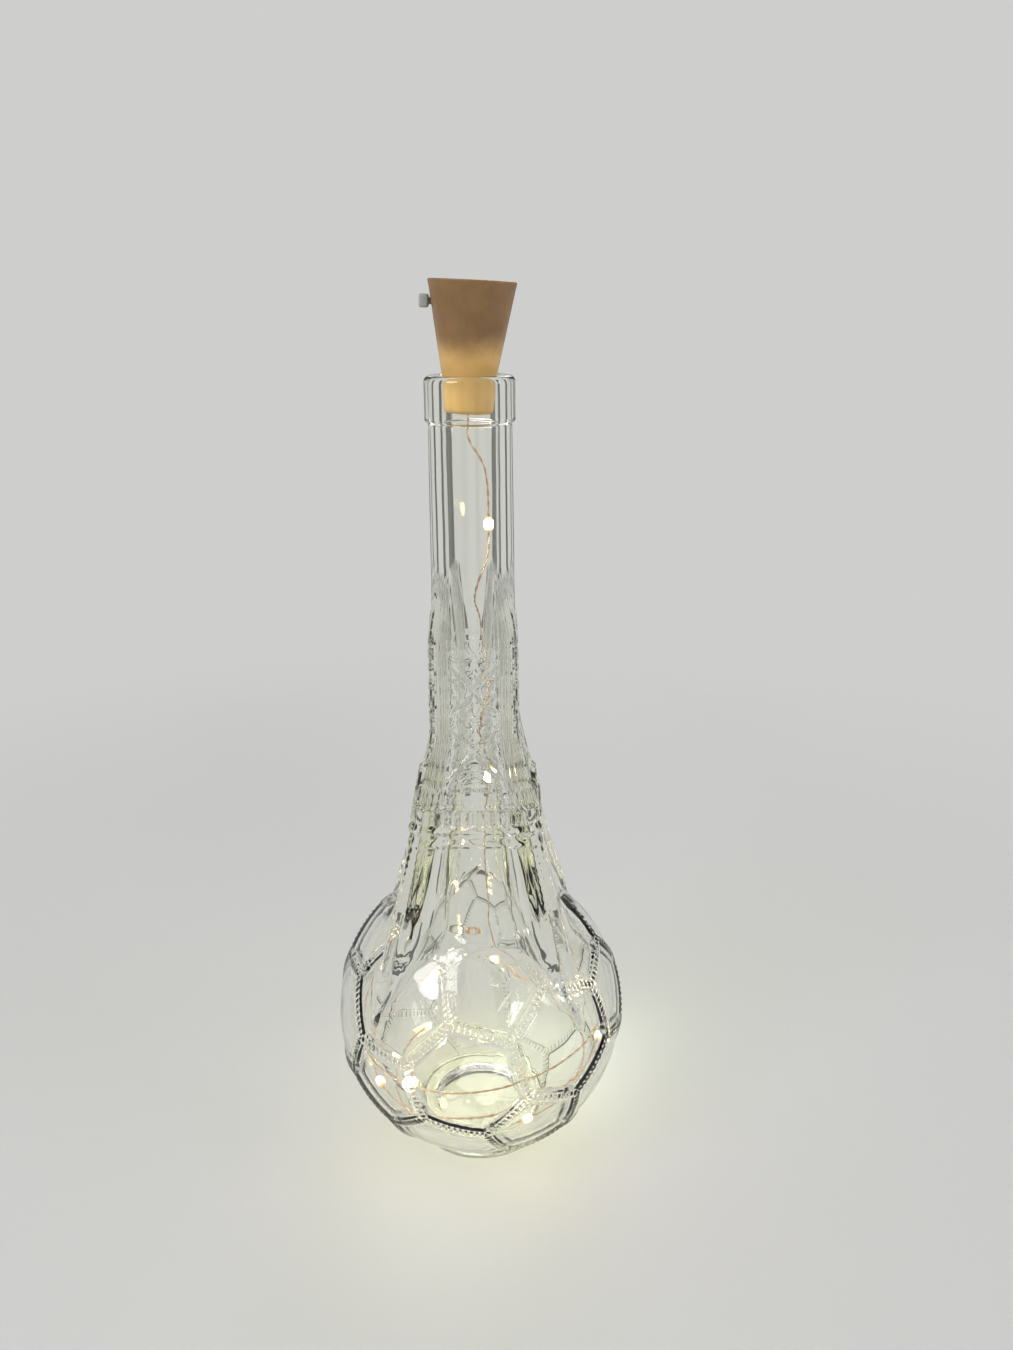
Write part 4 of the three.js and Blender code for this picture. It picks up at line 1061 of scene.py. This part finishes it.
# Works inside the stopper
# Three button cells in a black holder, between a coiled spring and a contact plate, with a slide switch
# beside them and a rubber bush round the wire. They keep their solid shapes.
def metal(name, light, dark, roughness):
    """A brushed metal."""
    material, start, coords = new_material(name)
    stretched = start.node("Mapping", sockets={"Vector": coords, "Scale": (1, 1, 9)})
    brushed = noise(stretched, 600, detail=4)
    output(start.node("BsdfPrincipled", sockets={
        "Base Color": brushed.mix(light, dark),
        "Metallic": 1.0,
        "Roughness": roughness + 0.2 * brushed,
        "Normal": bump(brushed, 0.1, 0.0001),
    }))
    return material


def plastic(name, light, dark, roughness):
    """An opaque plastic or rubber with a fine grain."""
    material, start, coords = new_material(name)
    grain = noise(coords, 1200, detail=4)
    output(start.node("BsdfPrincipled", sockets={
        "Base Color": grain.mix(light, dark),
        "Roughness": roughness + 0.2 * grain,
        "Normal": bump(grain, 0.2, 0.0002),
    }))
    return material


steel = metal("steel", (0.72, 0.72, 0.7, 1), (0.55, 0.55, 0.54, 1), 0.2)
brass = metal("brass", (0.86, 0.66, 0.3, 1), (0.66, 0.48, 0.2, 1), 0.22)
black_plastic = plastic("black_plastic", (0.035, 0.035, 0.036, 1), (0.02, 0.02, 0.021, 1), 0.35)
bush_rubber = plastic("bush_rubber", (0.3, 0.19, 0.09, 1), (0.22, 0.14, 0.06, 1), 0.5)
works = {
    "battery_holder": black_plastic,
    "button_cell_1": steel, "button_cell_2": steel, "button_cell_3": steel,
    "spring_contact": steel, "top_contact": brass, "switch_housing": steel,
    "switch_terminal_1": brass, "switch_terminal_2": brass, "switch_terminal_3": brass,
    "wire_grommet": bush_rubber, "inner_lead": copper,
}
for node, finish in works.items():
    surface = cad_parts[node].data
    surface.materials.clear()
    surface.materials.append(finish)


# Studio
# A pale floor that fades into a pale background, and three soft lamps: a wide one over the front left, a
# weaker one at the right and one behind.
FLOOR_SIZE = 16
FLOOR_FADE = (0.2, 0.65)
PALE = (0.62, 0.62, 0.61, 1)
WHITE = (1, 1, 1, 1)
AMBIENT = 0.45


def stage_piece(name, form, material):
    """A piece of the studio, which isn't part of the object."""
    mesh = mesh_of(form, name)
    mesh.materials.append(material)
    piece = bpy.data.objects.new(name, mesh)
    bpy.context.scene.collection.objects.link(piece)
    return piece


floor_form = bmesh.new()
bmesh.ops.create_grid(floor_form, x_segments=1, y_segments=1, size=FLOOR_SIZE / 2)
floor_finish, start, coords = new_material("floor")
near_floor = start.node("BsdfPrincipled", sockets={"Base Color": PALE, "Roughness": 0.7})
far_floor = start.node("Emission", sockets={"Color": PALE})
reach = start.node("VectorMath", {"operation": "LENGTH"}, {"Vector": coords}, output="Value")
output(start.node("MixShader", sockets={0: reach.ramp(*FLOOR_FADE), 1: near_floor, 2: far_floor}))
floor = stage_piece("floor", floor_form, floor_finish)

# Narrow dark boards stand in a ring round the stage. Only the dark lines that they draw in the glass show.
BOARDS = 8
BOARD_RING = 0.5
BOARD_WIDTH = 0.11
BOARD_HEIGHT = 0.8
BOARD_GREY = (0.14, 0.14, 0.14, 1)
board_form = bmesh.new()
upright = Matrix.Translation((0, BOARD_RING, BOARD_HEIGHT / 2)) @ Matrix.Rotation(math.pi / 2, 4, "X")
board_size = Matrix.Diagonal((BOARD_WIDTH, BOARD_HEIGHT, 1, 1))
for index in range(BOARDS):
    turn = Matrix.Rotation((index + 0.5) * 2 * math.pi / BOARDS, 4, "Z")
    placed = turn @ upright @ board_size
    bmesh.ops.create_grid(board_form, x_segments=1, y_segments=1, size=0.5, matrix=placed)
board_finish, start, coords = new_material("boards")
output(start.node("BsdfPrincipled", sockets={"Base Color": BOARD_GREY, "Roughness": 0.9}))
boards = stage_piece("boards", board_form, board_finish)
boards.visible_camera = False
boards.visible_diffuse = False
boards.visible_shadow = False

world = bpy.data.worlds.new("studio")
world.use_nodes = True
world.node_tree.nodes.clear()
sky = Shade(world.node_tree)
camera_ray = sky.node("LightPath", output="Is Camera Ray")
glossy_ray = sky.node("LightPath", output="Is Glossy Ray")
transmission_ray = sky.node("LightPath", output="Is Transmission Ray")
shown = sky.maths("MINIMUM", camera_ray + glossy_ray + transmission_ray, 1)
ambient = sky.node("Background", sockets={"Color": WHITE, "Strength": AMBIENT})
backdrop = sky.node("Background", sockets={"Color": PALE, "Strength": 1.0})
surround = sky.node("MixShader", sockets={0: shown, 1: ambient, 2: backdrop})
sky.node("OutputWorld", sockets={"Surface": surround})
bpy.context.scene.world = world


def soft_lamp(name, place, target, size, power):
    """A round lamp at a place, aimed at a target, with its size in metres and its power in watts."""
    lamp = bpy.data.lights.new(name, "AREA")
    lamp.shape = "DISK"
    lamp.size = size
    lamp.energy = power
    holder = bpy.data.objects.new(name, lamp)
    aim = (Vector(target) - Vector(place)).to_track_quat("-Z", "Y")
    holder.matrix_world = Matrix.Translation(place) @ aim.to_matrix().to_4x4()
    bpy.context.scene.collection.objects.link(holder)


soft_lamp("key", (-0.7, -0.6, 0.9), (0, 0, 0.12), 0.6, 7)
soft_lamp("fill", (0.9, -0.3, 0.5), (0, 0, 0.15), 0.5, 2.5)
soft_lamp("back", (0.2, 0.9, 0.8), (0, 0, 0.15), 0.6, 3)
bpy.context.scene.view_settings.view_transform = "Standard"
